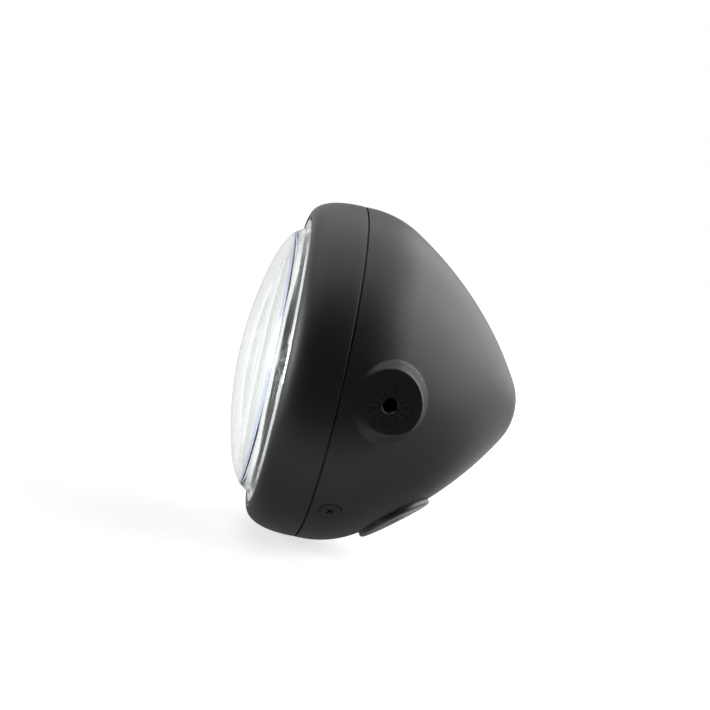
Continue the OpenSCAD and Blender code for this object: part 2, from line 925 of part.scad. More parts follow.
// Half shield under the front coil
module bulb_shield() {
    low = seat_plane - low_beam;
    shield_r = wire_spots[2][1] - wire_r - close_gap;
    color([0.5, 0.5, 0.48])
        lamp()
            at_clock(0)
                rotate([0, 0, -shield_turn / 2])
                    rotate_extrude(angle = shield_turn, $fn = small_fn)
                        polygon([[shield_r - shield_t, low + shield_ends[0]],
                                 [shield_r, low + shield_ends[0]],
                                 [shield_r, low + shield_ends[1]],
                                 [shield_r - shield_t, low + shield_ends[1]]]);
}

// The three blades, grown by a clearance
module bulb_blades(grow) {
    start = seat_plane + blade_root - grow;
    high = blade_end - blade_root + 2 * grow;
    wide = blade_w + 2 * grow;
    thick = blade_t + 2 * grow;
    for (side = [-1, 1])
        translate([side * blade_off - thick / 2, -wide / 2, start])
            cube([thick, wide, high]);
    translate([-wide / 2, -blade_off - thick / 2, start])
        cube([wide, thick, high]);
}

// Insulated end of the bulb, slotted for its blades
module bulb_insulator() {
    front = seat_plane + insulator_start;
    back = seat_plane + flange_t + rear_len;
    color([0.16, 0.15, 0.14])
        lamp()
            difference() {
                union() {
                    translate([0, 0, front])
                        cylinder(h = back - front, r = insulator_r, $fn = round_fn);
                    translate([0, 0, back])
                        cylinder(h = insulator_tail, r = insulator_r - insulator_step, $fn = round_fn);
                }
                bulb_blades(close_gap);
            }
}

module bulb_terminals() {
    color([0.78, 0.74, 0.6])
        lamp()
            bulb_blades(0);
}

// Rubber cover from the neck of the reflector to the rear of the bulb
module bulb_boot() {
    big = lock_inner_r + lock_t + loose_gap;
    small = rear_r + boot_hug;
    lip_in = neck_r + reflector_t + loose_gap;
    front = neck_end - boot_overlap;
    bend = seat_plane + flange_t + lock_t + 4 * loose_gap;
    end = seat_plane + flange_t + rear_len - cut;
    bead_r = small + boot_t + boot_bead[0];
    bead_s = bend + boot_t + cut;
    color([0.06, 0.06, 0.06])
        lamp()
            turned([[lip_in, front],
                    [big + boot_t - boot_edge, front],
                    [big + boot_t, front + boot_edge],
                    [big + boot_t, bend],
                    [big + boot_t / 4, bend + boot_t],
                    [bead_r, bead_s],
                    [bead_r, bead_s + boot_bead[1]],
                    [small + boot_t, bead_s + boot_t],
                    [small + boot_t, end],
                    [small, end],
                    [small, bend + boot_bead[1]],
                    [big - boot_edge, bend],
                    [big, bend - boot_edge],
                    [big, front + boot_t],
                    [lip_in, front + boot_t]]);
}

// Holder of the parking light, pushed into its tube from behind
module position_holder() {
    body_r = park_r - seat_gap;
    tail_r = body_r - boot_edge;
    color([0.1, 0.1, 0.1])
        lamp()
            translate([0, park_drop, 0])
                difference() {
                    turned([[0, holder_front],
                            [body_r - holder_edge, holder_front],
                            [body_r, holder_front + holder_edge],
                            [body_r, park_back],
                            [park_r + park_wall, park_back],
                            [park_r + park_wall, park_back + holder_flange_t],
                            [tail_r, park_back + holder_flange_t],
                            [tail_r, park_back + holder_flange_t + holder_tail],
                            [0, park_back + holder_flange_t + holder_tail]]);
                    translate([0, 0, holder_front - cut])
                        cylinder(h = socket_len + cut, r = socket_r, $fn = small_fn);
                }
}

// Small wedge-base lamp of the parking light
module position_bulb() {
    dome_c = [0, holder_front - wedge_len + wedge_r];
    color([0.85, 0.9, 0.92, 0.4])
        lamp()
            translate([0, park_drop, 0])
                turned(concat(
                    front_arc(dome_c, wedge_r, 0, 90, dome_steps),
                    [[wedge_r, holder_front + wedge_root],
                     [0, holder_front + wedge_root]]
                ));
}

module bottom_plug() {
    color([0.05, 0.05, 0.05])
        lamp()
            at_plug()
                rotate_extrude($fn = round_fn)
                    polygon(concat(
                        [[0, -seat_t - plug_barb_len],
                         [plug_neck_r - plug_lead, -seat_t - plug_barb_len],
                         [plug_neck_r + plug_barb, -seat_t - plug_catch],
                         [plug_neck_r + plug_barb, -seat_t],
                         [plug_neck_r, -seat_t],
                         [plug_neck_r, 0],
                         [plug_r, 0]],
                        arc([plug_r - plug_round, plug_t - plug_round], plug_round, 0, 90, edge_steps),
                        [[0, plug_t]]
                    ));
}

housing();
mount_bush(1);  // mount_bush_right
mount_bush(-1);  // mount_bush_left
rim();
rim_hook();
rim_tab(1);  // rim_tab_right
rim_tab(-1);  // rim_tab_left
tab_nuts();
rim_screws();
ring_lugs();
retaining_ring();
ring_screws();
lens();
lens_gasket();
reflector();
bulb_collar();
bulb_lock_ring();
bulb_base();
bulb_glass();
bulb_filaments();
bulb_shield();
bulb_insulator();
bulb_terminals();
bulb_boot();
position_holder();
position_bulb();
bottom_plug();
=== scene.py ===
import logging
import math
from dataclasses import dataclass, field
from enum import Enum
from typing import Callable, Optional, Sequence, Union

import bmesh
import bpy
from mathutils import Matrix, Vector
from mathutils.geometry import delaunay_2d_cdt


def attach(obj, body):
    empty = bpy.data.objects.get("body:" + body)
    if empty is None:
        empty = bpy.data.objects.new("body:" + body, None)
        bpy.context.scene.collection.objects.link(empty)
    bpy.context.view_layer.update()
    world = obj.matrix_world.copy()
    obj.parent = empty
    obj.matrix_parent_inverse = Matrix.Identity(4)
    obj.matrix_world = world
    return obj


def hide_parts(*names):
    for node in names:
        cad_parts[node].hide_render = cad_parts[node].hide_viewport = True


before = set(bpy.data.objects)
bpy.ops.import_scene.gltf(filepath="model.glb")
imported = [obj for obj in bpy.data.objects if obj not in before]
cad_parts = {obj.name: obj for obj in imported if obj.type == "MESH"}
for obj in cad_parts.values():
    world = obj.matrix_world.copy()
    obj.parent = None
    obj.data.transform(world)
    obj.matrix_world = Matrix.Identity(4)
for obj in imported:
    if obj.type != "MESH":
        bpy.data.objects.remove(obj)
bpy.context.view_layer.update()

log = logging.getLogger("headlight")

MM = 0.001
BODY = "root"
SEAM_Y = -22.7

Point = tuple[float, float]
Socket = bpy.types.NodeSocket
Value = Union[float, tuple, Socket]
NormalLaw = Callable[[Vector, Vector], Optional[Vector]]


class Side(Enum):
    """The side of the lamp that a mirrored piece is on."""

    RIGHT = 1
    LEFT = -1


class Join(Enum):
    """How one closed mesh is put together with another."""

    ADD = "UNION"
    CUT = "DIFFERENCE"


class Effect(Enum):
    """The surface effects that several finishes share."""

    GRAIN = "surface_grain"
    DUST = "dust_film"
    WEAR = "edge_wear"


# Mesh work


def place(radius: float, back: float, clock: float) -> Vector:
    """Gives a point of the lamp from its place on the turned form.

    Args:
        radius: Distance from the lamp's axis, in mm.
        back: Distance behind the seam, in mm.
        clock: Angle from the bottom towards the right side, in degrees.

    Returns:
        The point in metres.
    """
    a = math.radians(clock)
    return Vector((radius * math.sin(a), back + SEAM_Y, -radius * math.cos(a))) * MM


def arc(centre: Point, radius: float, start: float, end: float, steps: int) -> list[Point]:
    """Gives points on an arc of a section.

    Args:
        centre: Centre of the arc, in the section.
        radius: Radius of the arc.
        start: First angle, in degrees, where 0 points outwards and 90 backwards.
        end: Last angle.
        steps: Number of steps between them.

    Returns:
        The points in order.
    """
    angles = [math.radians(start + (end - start) * i / steps) for i in range(steps + 1)]
    return [(centre[0] + radius * math.cos(a), centre[1] + radius * math.sin(a)) for a in angles]


def front_arc(centre: Point, radius: float, start: float, end: float, steps: int) -> list[Point]:
    """The same as arc, with the angles counted from straight forwards."""
    return arc(centre, radius, start - 90, end - 90, steps)


def line(start: Point, end: Point, steps: int) -> list[Point]:
    """Points on a straight line of a section, both ends included."""
    return [(start[0] + (end[0] - start[0]) * i / steps, start[1] + (end[1] - start[1]) * i / steps)
            for i in range(steps + 1)]


def on_axis(clock: float, back: float, slope: float = 0.0, radius: float = 0.0) -> Matrix:
    """Gives the frame of a piece whose Z axis points out of the lamp.

    Args:
        clock: Angle of the axis from the bottom towards the right, in degrees.
        back: Distance behind the seam, in mm.
        slope: How far the axis leans backwards, in degrees.
        radius: Distance of the frame's origin from the lamp's axis, in mm.

    Returns:
        A matrix from the piece's own millimetres to the lamp's metres.
    """
    out = place(1, -SEAM_Y, clock) / MM
    rear = Vector((0, 1, 0))
    lean = math.radians(slope)
    axis = out * math.cos(lean) + rear * math.sin(lean)
    along = rear * math.cos(lean) - out * math.sin(lean)
    across = along.cross(axis)
    turn = Matrix((across, along, axis)).transposed().to_4x4()
    return Matrix.Translation(place(radius, back, clock)) @ turn @ Matrix.Scale(MM, 4)


def mount_frame(side: Side) -> Matrix:
    """The frame of the mount on one side of the lamp."""
    return on_axis(90 * side.value, -SEAM_Y)


@dataclass(frozen=True)
class ScrewPlace:
    """Where the head of a screw lies in the side of the housing, in degrees and mm."""

    clock: float = 46.8
    back: float = 10.0
    lean: float = 7.2
    top: float = 82.0

    def frame_of(self, side: Side, play: float = 0.0) -> Matrix:
        """The frame of the screw on one side, turned round the lamp by some play."""
        return on_axis((self.clock + play) * side.value, self.back, self.lean, self.top)


class Form:
    """A mesh in the making, with the moves that every piece needs."""

    def __init__(self) -> None:
        """Starts with an empty mesh."""
        self.bm = bmesh.new()

    def rows(self, grid: Sequence[Sequence[Vector]], around: bool, closed: bool,
             keep: Optional[Callable[[int, int], bool]] = None) -> list[list[bmesh.types.BMVert]]:
        """Lays a grid of faces over rows of points.

        Args:
            grid: Rows of points; a row of one point is a pole.
            around: Whether each row closes on itself.
            closed: Whether the last row joins the first.
            keep: Says for a row and a column whether the face there is made.

        Returns:
            The vertices, row by row.
        """
        made = [[self.bm.verts.new(p) for p in row] for row in grid]
        count = len(made)
        for i in range(count if closed else count - 1):
            a, b = made[i], made[(i + 1) % count]
            width = max(len(a), len(b))
            if width == 1:
                continue
            for j in range(width if around else width - 1):
                if keep and not keep(i, j):
                    continue
                k = (j + 1) % width
                loop = [a[j % len(a)], a[k % len(a)], b[k % len(b)], b[j % len(b)]]
                corners = list(dict.fromkeys(loop))
                if len(corners) > 2:
                    self.bm.faces.new(corners)
        return made

    def lathe(self, section: Sequence[Point], segments: int, closed: bool = True,
              frame_of: Optional[Matrix] = None,
              keep: Optional[Callable[[int, int], bool]] = None) -> list[list[bmesh.types.BMVert]]:
        """Turns a section about the lamp's axis, or about the Z axis of another frame.

        Args:
            section: Points as (radius, distance along the axis), in mm.
            segments: Number of steps round the axis.
            closed: Whether the section closes on itself.
            frame_of: Frame of the piece; the lamp's own axis if there is none.
            keep: Passed on to rows.

        Returns:
            The vertices, row by row.
        """
        grid = []
        for radius, along in section:
            steps = 1 if radius < 1e-6 else segments
            angles = [360 * j / segments for j in range(steps)]
            if frame_of is None:
                grid.append([place(radius, along, a) for a in angles])
            else:
                grid.append([frame_of @ Vector((radius * math.cos(math.radians(a)),
                                                radius * math.sin(math.radians(a)), along))
                             for a in angles])
        return self.rows(grid, True, closed, keep)

    def done(self, name: str, sharp: float = 35.0) -> bpy.types.Object:
        """Makes an object from the mesh.

        Args:
            name: Name of the new object.
            sharp: Edges that turn by more than this angle stay sharp, in degrees.

        Returns:
            The object, linked to the scene.
        """
        bmesh.ops.remove_doubles(self.bm, verts=self.bm.verts, dist=1e-8)
        bmesh.ops.recalc_face_normals(self.bm, faces=self.bm.faces)
        mesh = bpy.data.meshes.new(name)
        self.bm.to_mesh(mesh)
        self.bm.free()
        made = bpy.data.objects.new(name, mesh)
        bpy.context.scene.collection.objects.link(made)
        smooth(mesh, sharp)
        return made


def smooth(mesh: bpy.types.Mesh, sharp: float) -> None:
    """Shades a mesh smoothly, apart from its sharp edges."""
    mesh.polygons.foreach_set("use_smooth", [True] * len(mesh.polygons))
    mesh.set_sharp_from_angle(angle=math.radians(sharp))


def combine(target: bpy.types.Object, tool: bpy.types.Object, how: Join, sharp: float = 35.0) -> None:
    """Joins one solid to another or cuts it out, and removes the tool.

    Args:
        target: The solid that is changed.
        tool: The solid that is added or cut out.
        how: Which of the two.
        sharp: Angle above which an edge stays sharp, in degrees.
    """
    step = target.modifiers.new(how.value, "BOOLEAN")
    step.operation = how.value
    step.solver = "EXACT"
    step.object = tool
    bpy.context.view_layer.update()
    old = target.data
    new = bpy.data.meshes.new_from_object(target.evaluated_get(bpy.context.evaluated_depsgraph_get()))
    target.modifiers.clear()
    target.data = new
    new.name = target.name
    bpy.data.meshes.remove(old)
    bpy.data.objects.remove(tool)
    smooth(new, sharp)


def true_normals(mesh: bpy.types.Mesh, law: NormalLaw) -> None:
    """Gives each corner that lies on a known curved surface that surface's own normal.

    Args:
        mesh: The mesh to shade.
        law: Gives the normal for a place and the normal of the face there, or None.
    """
    plain = [Vector(n.vector) for n in mesh.corner_normals]
    for polygon in mesh.polygons:
        for k in polygon.loop_indices:
            found = law(mesh.vertices[mesh.loops[k].vertex_index].co, polygon.normal)
            if found is not None:
                plain[k] = found
    mesh.normals_split_custom_set(plain)


def settle(piece: bpy.types.Object, finish: bpy.types.Material, nodes: Sequence[str] = ()) -> None:
    """Dresses a piece, fixes it to the lamp and reports it.

    Args:
        piece: The new piece.
        finish: Its material.
        nodes: The solids that it stands for.
    """
    piece.data.materials.clear()
    piece.data.materials.append(finish)
    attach(piece, BODY)
    if nodes:
        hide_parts(*nodes)
    log.info("piece %s: %d faces, finish %s", piece.name, len(piece.data.polygons), finish.name)


def dress(node: str, finish: bpy.types.Material) -> None:
    """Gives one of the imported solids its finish."""
    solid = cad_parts[node]
    if solid.material_slots:
        for place_in in solid.material_slots:
            place_in.material = finish
    else:
        solid.data.materials.append(finish)
    log.info("solid %s: finish %s", node, finish.name)


# Finishes


@dataclass(frozen=True)
class Ramp:
    """A smooth change of one value with another.

    Attributes:
        low: Where the change starts.
        high: Where it ends.
        start: Result at the start.
        end: Result at the end.
    """

    low: float
    high: float
    start: float = 0.0
    end: float = 1.0


class Graph:
    """A short way to place nodes in a tree and to feed their sockets."""

    def __init__(self, tree: bpy.types.NodeTree) -> None:
        """Takes the tree that the nodes go into."""
        self.tree = tree

    def add(self, kind: str, **settings: object) -> bpy.types.Node:
        """Adds a node and sets its fields.

        Args:
            kind: Blender's name for the type of node.
            settings: Fields of the node and their values.

        Returns:
            The node.
        """
        node = self.tree.nodes.new(kind)
        for key, value in settings.items():
            setattr(node, key, value)
        return node

    def feed(self, target: Socket, value: Value) -> None:
        """Feeds a socket from another socket, or sets its plain value."""
        if isinstance(value, bpy.types.NodeSocket):
            self.tree.links.new(value, target)
        else:
            target.default_value = value

    def math(self, operation: str, *values: Value) -> Socket:
        """Adds a Math node.

        Args:
            operation: Name of the operation.
            values: What goes into it.

        Returns:
            The result.
        """
        node = self.add("ShaderNodeMath", operation=operation)
        for target, value in zip(node.inputs, values):
            self.feed(target, value)
        return node.outputs[0]

    def product(self, *values: Value) -> Socket:
        """Multiplies values and keeps the result between 0 and 1."""
        made = values[0]
        for value in values[1:]:
            made = self.math("MULTIPLY", made, value)
        made.node.use_clamp = True
        return made

    def span(self, value: Value, ramp: Ramp) -> Socket:
        """Maps a value smoothly along a ramp."""
        node = self.add("ShaderNodeMapRange", interpolation_type="SMOOTHSTEP")
        for target, item in zip(node.inputs, (value, ramp.low, ramp.high, ramp.start, ramp.end)):
            self.feed(target, item)
        return node.outputs[0]

    def rays(self) -> tuple[Socket, Socket]:
        """Tells apart the rays that see a thing plainly from those that see it mirrored.

        Returns:
            1 for rays from the camera or through glass, and 1 for glossy rays that aren't among them.
        """
        path = self.add("ShaderNodeLightPath").outputs
        plain = self.math("MAXIMUM", path["Is Camera Ray"], path["Is Transmission Ray"])
        return plain, self.math("MULTIPLY", path["Is Glossy Ray"], self.math("SUBTRACT", 1.0, plain))

    def blend(self, share: Value, first: Value, second: Value) -> Socket:
        """Mixes two colours.

        Args:
            share: How much of the second, from 0 to 1.
            first: The first colour.
            second: The second colour.

        Returns:
            The mixed colour.
        """
        node = self.add("ShaderNodeMix", data_type="RGBA")
        self.feed(node.inputs[0], share)
        self.feed(node.inputs[6], first)
        self.feed(node.inputs[7], second)
        return node.outputs[2]

    def noise(self, size: Value, detail: float) -> Socket:
        """Adds a noise of a real size on the piece.

        Args:
            size: Size of its patches, in mm.
            detail: How many finer layers it has.

        Returns:
            The noise, about 0 to 1.
        """
        grain = self.add("ShaderNodeTexNoise")
        self.feed(grain.inputs["Vector"], self.add("ShaderNodeTexCoord").outputs["Object"])
        self.feed(grain.inputs["Scale"], self.math("DIVIDE", 1 / MM, size))
        self.feed(grain.inputs["Detail"], detail)
        return grain.outputs[0]

    def distance(self, flat: Vector) -> Socket:
        """Distance from the origin in mm, after each axis is scaled."""
        node = self.add("ShaderNodeMapping")
        node.inputs["Scale"].default_value = flat / MM
        self.feed(node.inputs[0], self.add("ShaderNodeTexCoord").outputs["Object"])
        length = self.add("ShaderNodeVectorMath", operation="LENGTH")
        self.feed(length.inputs[0], node.outputs[0])
        return length.outputs["Value"]

    def relief(self, shader: bpy.types.Node, height: Socket, depth: float) -> None:
        """Gives a shader bumps.

        Args:
            shader: The shader.
            height: Height of the bumps, 0 to 1.
            depth: Their height in mm.
        """
        bump = self.add("ShaderNodeBump")
        bump.inputs["Strength"].default_value = 1.0
        bump.inputs["Distance"].default_value = depth * MM
        self.feed(bump.inputs["Height"], height)
        self.feed(shader.inputs["Normal"], bump.outputs[0])


@dataclass
class Effects:
    """Builds each shared effect once and places it in the finishes.

    Attributes:
        built: The node groups made so far.
        up: Share of dust against how far a face looks up.
        film: Where the slow noise of the dust shows.
        speck: Where its fine noise shows.
        film_size: Size of the patches of dust, in mm.
        speck_size: Size of the specks, in mm.
        edge: Where Blender's pointiness counts as an edge.
        broken: How a noise breaks up the worn edges.
    """

    built: dict[Effect, bpy.types.NodeTree] = field(default_factory=dict)
    up: Ramp = Ramp(-0.2, 1.0, 0.15, 1.0)
    film: Ramp = Ramp(0.35, 0.75)
    speck: Ramp = Ramp(0.7, 0.78)
    film_size: float = 9.0
    speck_size: float = 0.45
    edge: Ramp = Ramp(0.53, 0.62)
    broken: Ramp = Ramp(0.35, 0.65)

    def place(self, graph: Graph, effect: Effect, **values: Value) -> bpy.types.Node:
        """Places an effect in a finish.

        Args:
            graph: The finish's tree.
            effect: Which effect.
            values: What goes into its inputs.

        Returns:
            The group's node, with its outputs.
        """
        if effect not in self.built:
            self.built[effect] = self.build(effect)
        node = graph.add("ShaderNodeGroup", node_tree=self.built[effect])
        for name, value in values.items():
            graph.feed(node.inputs[name], value)
        return node

    def build(self, effect: Effect) -> bpy.types.NodeTree:
        """Makes the node group of an effect.

        Args:
            effect: Which effect.

        Returns:
            The group.
        """
        tree = bpy.data.node_groups.new(effect.value, "ShaderNodeTree")
        graph = Graph(tree)
        {Effect.GRAIN: self.grain, Effect.DUST: self.dust, Effect.WEAR: self.wear}[effect](graph)
        return tree

    @staticmethod
    def sockets(graph: Graph, inputs: dict[str, float], outputs: Sequence[str]) -> tuple:
        """Gives a group its named inputs and outputs.

        Args:
            graph: The group's tree.
            inputs: Names of the inputs and their plain values.
            outputs: Names of the outputs.

        Returns:
            The group's input node and output node.
        """
        for name, value in inputs.items():
            made = graph.tree.interface.new_socket(name, in_out="INPUT", socket_type="NodeSocketFloat")
            made.default_value = value
        for name in outputs:
            graph.tree.interface.new_socket(name, in_out="OUTPUT", socket_type="NodeSocketFloat")
        return graph.add("NodeGroupInput"), graph.add("NodeGroupOutput")

    def grain(self, graph: Graph) -> None:
        """Fine bumps of one size, with slow patches of tone."""
        given, out = self.sockets(graph, {"Size": 1.0, "Patch": 20.0}, ("Height", "Tone"))
        graph.feed(out.inputs["Height"], graph.noise(given.outputs["Size"], 3.0))
        graph.feed(out.inputs["Tone"], graph.noise(given.outputs["Patch"], 4.0))

    def dust(self, graph: Graph) -> None:
        """A thin film on what faces up, with a few specks."""
        given, out = self.sockets(graph, {"Amount": 0.1}, ("Mask",))
        normal = graph.add("ShaderNodeNewGeometry").outputs["Normal"]
        parts = graph.add("ShaderNodeSeparateXYZ")
        graph.feed(parts.inputs[0], normal)
        up = graph.span(parts.outputs["Z"], self.up)
        film = graph.span(graph.noise(self.film_size, 5.0), self.film)
        specks = graph.span(graph.noise(self.speck_size, 1.0), self.speck)
        both = graph.math("ADD", graph.math("MULTIPLY", film, 0.6), specks)
        graph.feed(out.inputs["Mask"], graph.product(both, up, given.outputs["Amount"]))

    def wear(self, graph: Graph) -> None:
        """Rubbed edges, broken up by a noise."""
        given, out = self.sockets(graph, {"Amount": 0.5, "Size": 1.5}, ("Mask",))
        point = graph.add("ShaderNodeNewGeometry").outputs["Pointiness"]
        edge = graph.span(point, self.edge)
        broken = graph.span(graph.noise(given.outputs["Size"], 4.0), self.broken)
        graph.feed(out.inputs["Mask"], graph.product(edge, broken, given.outputs["Amount"]))


EFFECTS = Effects()


@dataclass(frozen=True)
class Finish:
    """What every finish has: a colour, a gloss and small bumps of a real size.

    Attributes:
        name: Name of the material.
        colour: Plain colour, linear.
        roughness: Plain roughness.
        grain: Size of the bumps, in mm.
        depth: Height of the bumps, in mm.
        metal: 1 for bare metal, 0 for the rest.
        spread: How far the roughness wanders.
        dust: Amount of dust on what faces up.
        wear: Amount of wear on the edges.
        bare: Colour under the worn edges.
        specular: Strength of the plain reflection.
        tone: How far the colour wanders.
        dust_colour: Colour of the dust.
        dull: How much rougher full dust is.
    """

    name: str
    colour: tuple[float, float, float]
    roughness: float
    grain: float = 1.0
    depth: float = 0.01
    metal: float = 0.0
    spread: float = 0.05
    dust: float = 0.0
    wear: float = 0.0
    bare: tuple[float, float, float] = (0.3, 0.3, 0.3)
    specular: float = 0.5
    tone: float = 0.08
    dust_colour: tuple[float, float, float] = (0.32, 0.31, 0.29)
    dull: float = 0.4

    def start(self) -> tuple[bpy.types.Material, Graph, bpy.types.Node]:
        """Makes an empty material with its shader.

        Returns:
            The material, its graph and its Principled BSDF.
        """
        made = bpy.data.materials.new(self.name)
        made.use_nodes = True
        made.node_tree.nodes.clear()
        graph = Graph(made.node_tree)
        shader = graph.add("ShaderNodeBsdfPrincipled")
        shader.inputs["Specular IOR Level"].default_value = self.specular
        shader.inputs["Metallic"].default_value = self.metal
        out = graph.add("ShaderNodeOutputMaterial")
        graph.feed(out.inputs["Surface"], shader.outputs[0])
        return made, graph, shader

    def build(self) -> bpy.types.Material:
        """Makes the material.

        Returns:
            The finished material.
        """
        made, graph, shader = self.start()
        grain = EFFECTS.place(graph, Effect.GRAIN, Size=self.grain, Patch=self.grain * 25)
        dark = tuple(c * (1 - self.tone) for c in self.colour)
        light = tuple(c * (1 + self.tone) for c in self.colour)
        colour = graph.blend(grain.outputs["Tone"], (*dark, 1), (*light, 1))
        rough = graph.math("ADD", self.roughness - self.spread,
                           graph.math("MULTIPLY", grain.outputs["Tone"], 2 * self.spread))
        if self.wear:
            worn = EFFECTS.place(graph, Effect.WEAR, Amount=self.wear).outputs["Mask"]
            colour = graph.blend(worn, colour, (*self.bare, 1))
        if self.dust:
            film = EFFECTS.place(graph, Effect.DUST, Amount=self.dust).outputs["Mask"]
            colour = graph.blend(film, colour, (*self.dust_colour, 1))
            rough = graph.math("ADD", rough, graph.math("MULTIPLY", film, self.dull))
        graph.feed(shader.inputs["Base Color"], colour)
        graph.feed(shader.inputs["Roughness"], rough)
        graph.relief(shader, grain.outputs["Height"], self.depth)
        return made


@dataclass(frozen=True)
class GlassFinish(Finish):
    """Clear glass that also lets plain light through to what is behind it.

    Attributes:
        index: Index of refraction.
        clear: How much of a shadow ray passes.
        highlight_band: Distance of a ring of painted highlight from the frame's origin along the axis, in mm;
            0 for none. The ring is a blue tint in the glass's colour that stands in for a thin blue highlight
            line.
        highlight_front: Where the painted highlight starts and is full behind the ring's place, in mm.
        highlight_back: Where it starts to fade and ends before it, in mm.
        highlight_r: Where the painted highlight starts and is full going outwards, in mm.
        highlight_colour: Colour of the painted highlight.
        haze: Roughness where the film is full.
    """

    index: float = 1.5
    clear: float = 0.9
    highlight_band: float = 0.0
    highlight_front: Point = (-0.9, -0.6)
    highlight_back: Point = (0.7, 1.1)
    highlight_r: Point = (61.0, 61.6)
    highlight_colour: tuple[float, float, float] = (0.60, 0.66, 0.92)
    haze: float = 0.2

    def build(self) -> bpy.types.Material:
        """Makes the glass.

        Returns:
            The finished material.
        """
        made, graph, shader = self.start()
        shader.inputs["Transmission Weight"].default_value = 1.0
        shader.inputs["IOR"].default_value = self.index
        grain = EFFECTS.place(graph, Effect.GRAIN, Size=self.grain, Patch=self.grain * 3)
        film = EFFECTS.place(graph, Effect.DUST, Amount=self.dust).outputs["Mask"]
        dark = tuple(c * (1 - self.tone) for c in self.colour)
        colour = graph.blend(grain.outputs["Tone"], (*self.colour, 1), (*dark, 1))
        # Painted highlight: a blue ring tinted into the glass's colour near its shoulder stands in for a thin
        # blue highlight line.
        if self.highlight_band:
            along = graph.distance(Vector((0, 1, 0)))
            rise, fall = ([self.highlight_band + edge for edge in edges] for edges in (self.highlight_front, self.highlight_back))
            outer = graph.span(graph.distance(Vector((1, 0, 1))), Ramp(*self.highlight_r))
            highlight_mask = graph.product(graph.span(along, Ramp(*rise)),
                                 graph.span(along, Ramp(*fall, 1.0, 0.0)), outer)
            colour = graph.blend(highlight_mask, colour, (*self.highlight_colour, 1))
        graph.feed(shader.inputs["Base Color"], colour)
        graph.feed(shader.inputs["Roughness"], graph.math("MULTIPLY", film, self.haze))
        graph.relief(shader, grain.outputs["Height"], self.depth)
        rays = graph.add("ShaderNodeLightPath")
        through = graph.add("ShaderNodeBsdfTransparent")
        through.inputs[0].default_value = (self.clear, self.clear, self.clear, 1)
        mix = graph.add("ShaderNodeMixShader")
        graph.feed(mix.inputs[0], rays.outputs["Is Shadow Ray"])
        graph.feed(mix.inputs[1], shader.outputs[0])
        graph.feed(mix.inputs[2], through.outputs[0])
        out = next(n for n in made.node_tree.nodes if n.type == "OUTPUT_MATERIAL")
        graph.feed(out.inputs["Surface"], mix.outputs[0])
        return made


@dataclass(frozen=True)
class BushFinish(Finish):
    """Steel painted over with the housing, and bare where a bolt has run in the thread.

    Attributes:
        inside: Where the paint starts, going away from the mount's axis, in mm.
        mouth: Where it starts, going away from the lamp's upright plane, in mm.
        ragged: How far the paint's edge wanders, in mm.
        polish: How much smoother the bare steel is.
    """

    inside: Ramp = Ramp(4.2, 4.4, 1.0, 0.0)
    mouth: Ramp = Ramp(81.0, 81.4, 1.0, 0.0)
    ragged: float = 0.5
    polish: float = 0.12

    def build(self) -> bpy.types.Material:
        """Makes the painted and bare steel.

        Returns:
            The finished material.
        """
        made, graph, shader = self.start()
        grain = EFFECTS.place(graph, Effect.GRAIN, Size=self.grain, Patch=2.0)
        edge = graph.math("ADD", graph.distance(Vector((0, 1, 1))),
                          graph.math("MULTIPLY", grain.outputs["Tone"], self.ragged))
        bare = graph.product(graph.span(edge, self.inside),
                             graph.span(graph.distance(Vector((1, 0, 0))), self.mouth))
        graph.feed(shader.inputs["Base Color"], graph.blend(bare, (*self.colour, 1), (*self.bare, 1)))
        graph.feed(shader.inputs["Metallic"], bare)
        graph.feed(shader.inputs["Roughness"], graph.math("SUBTRACT", self.roughness,
                                                          graph.math("MULTIPLY", bare, self.polish)))
        graph.relief(shader, grain.outputs["Height"], self.depth)
        return made


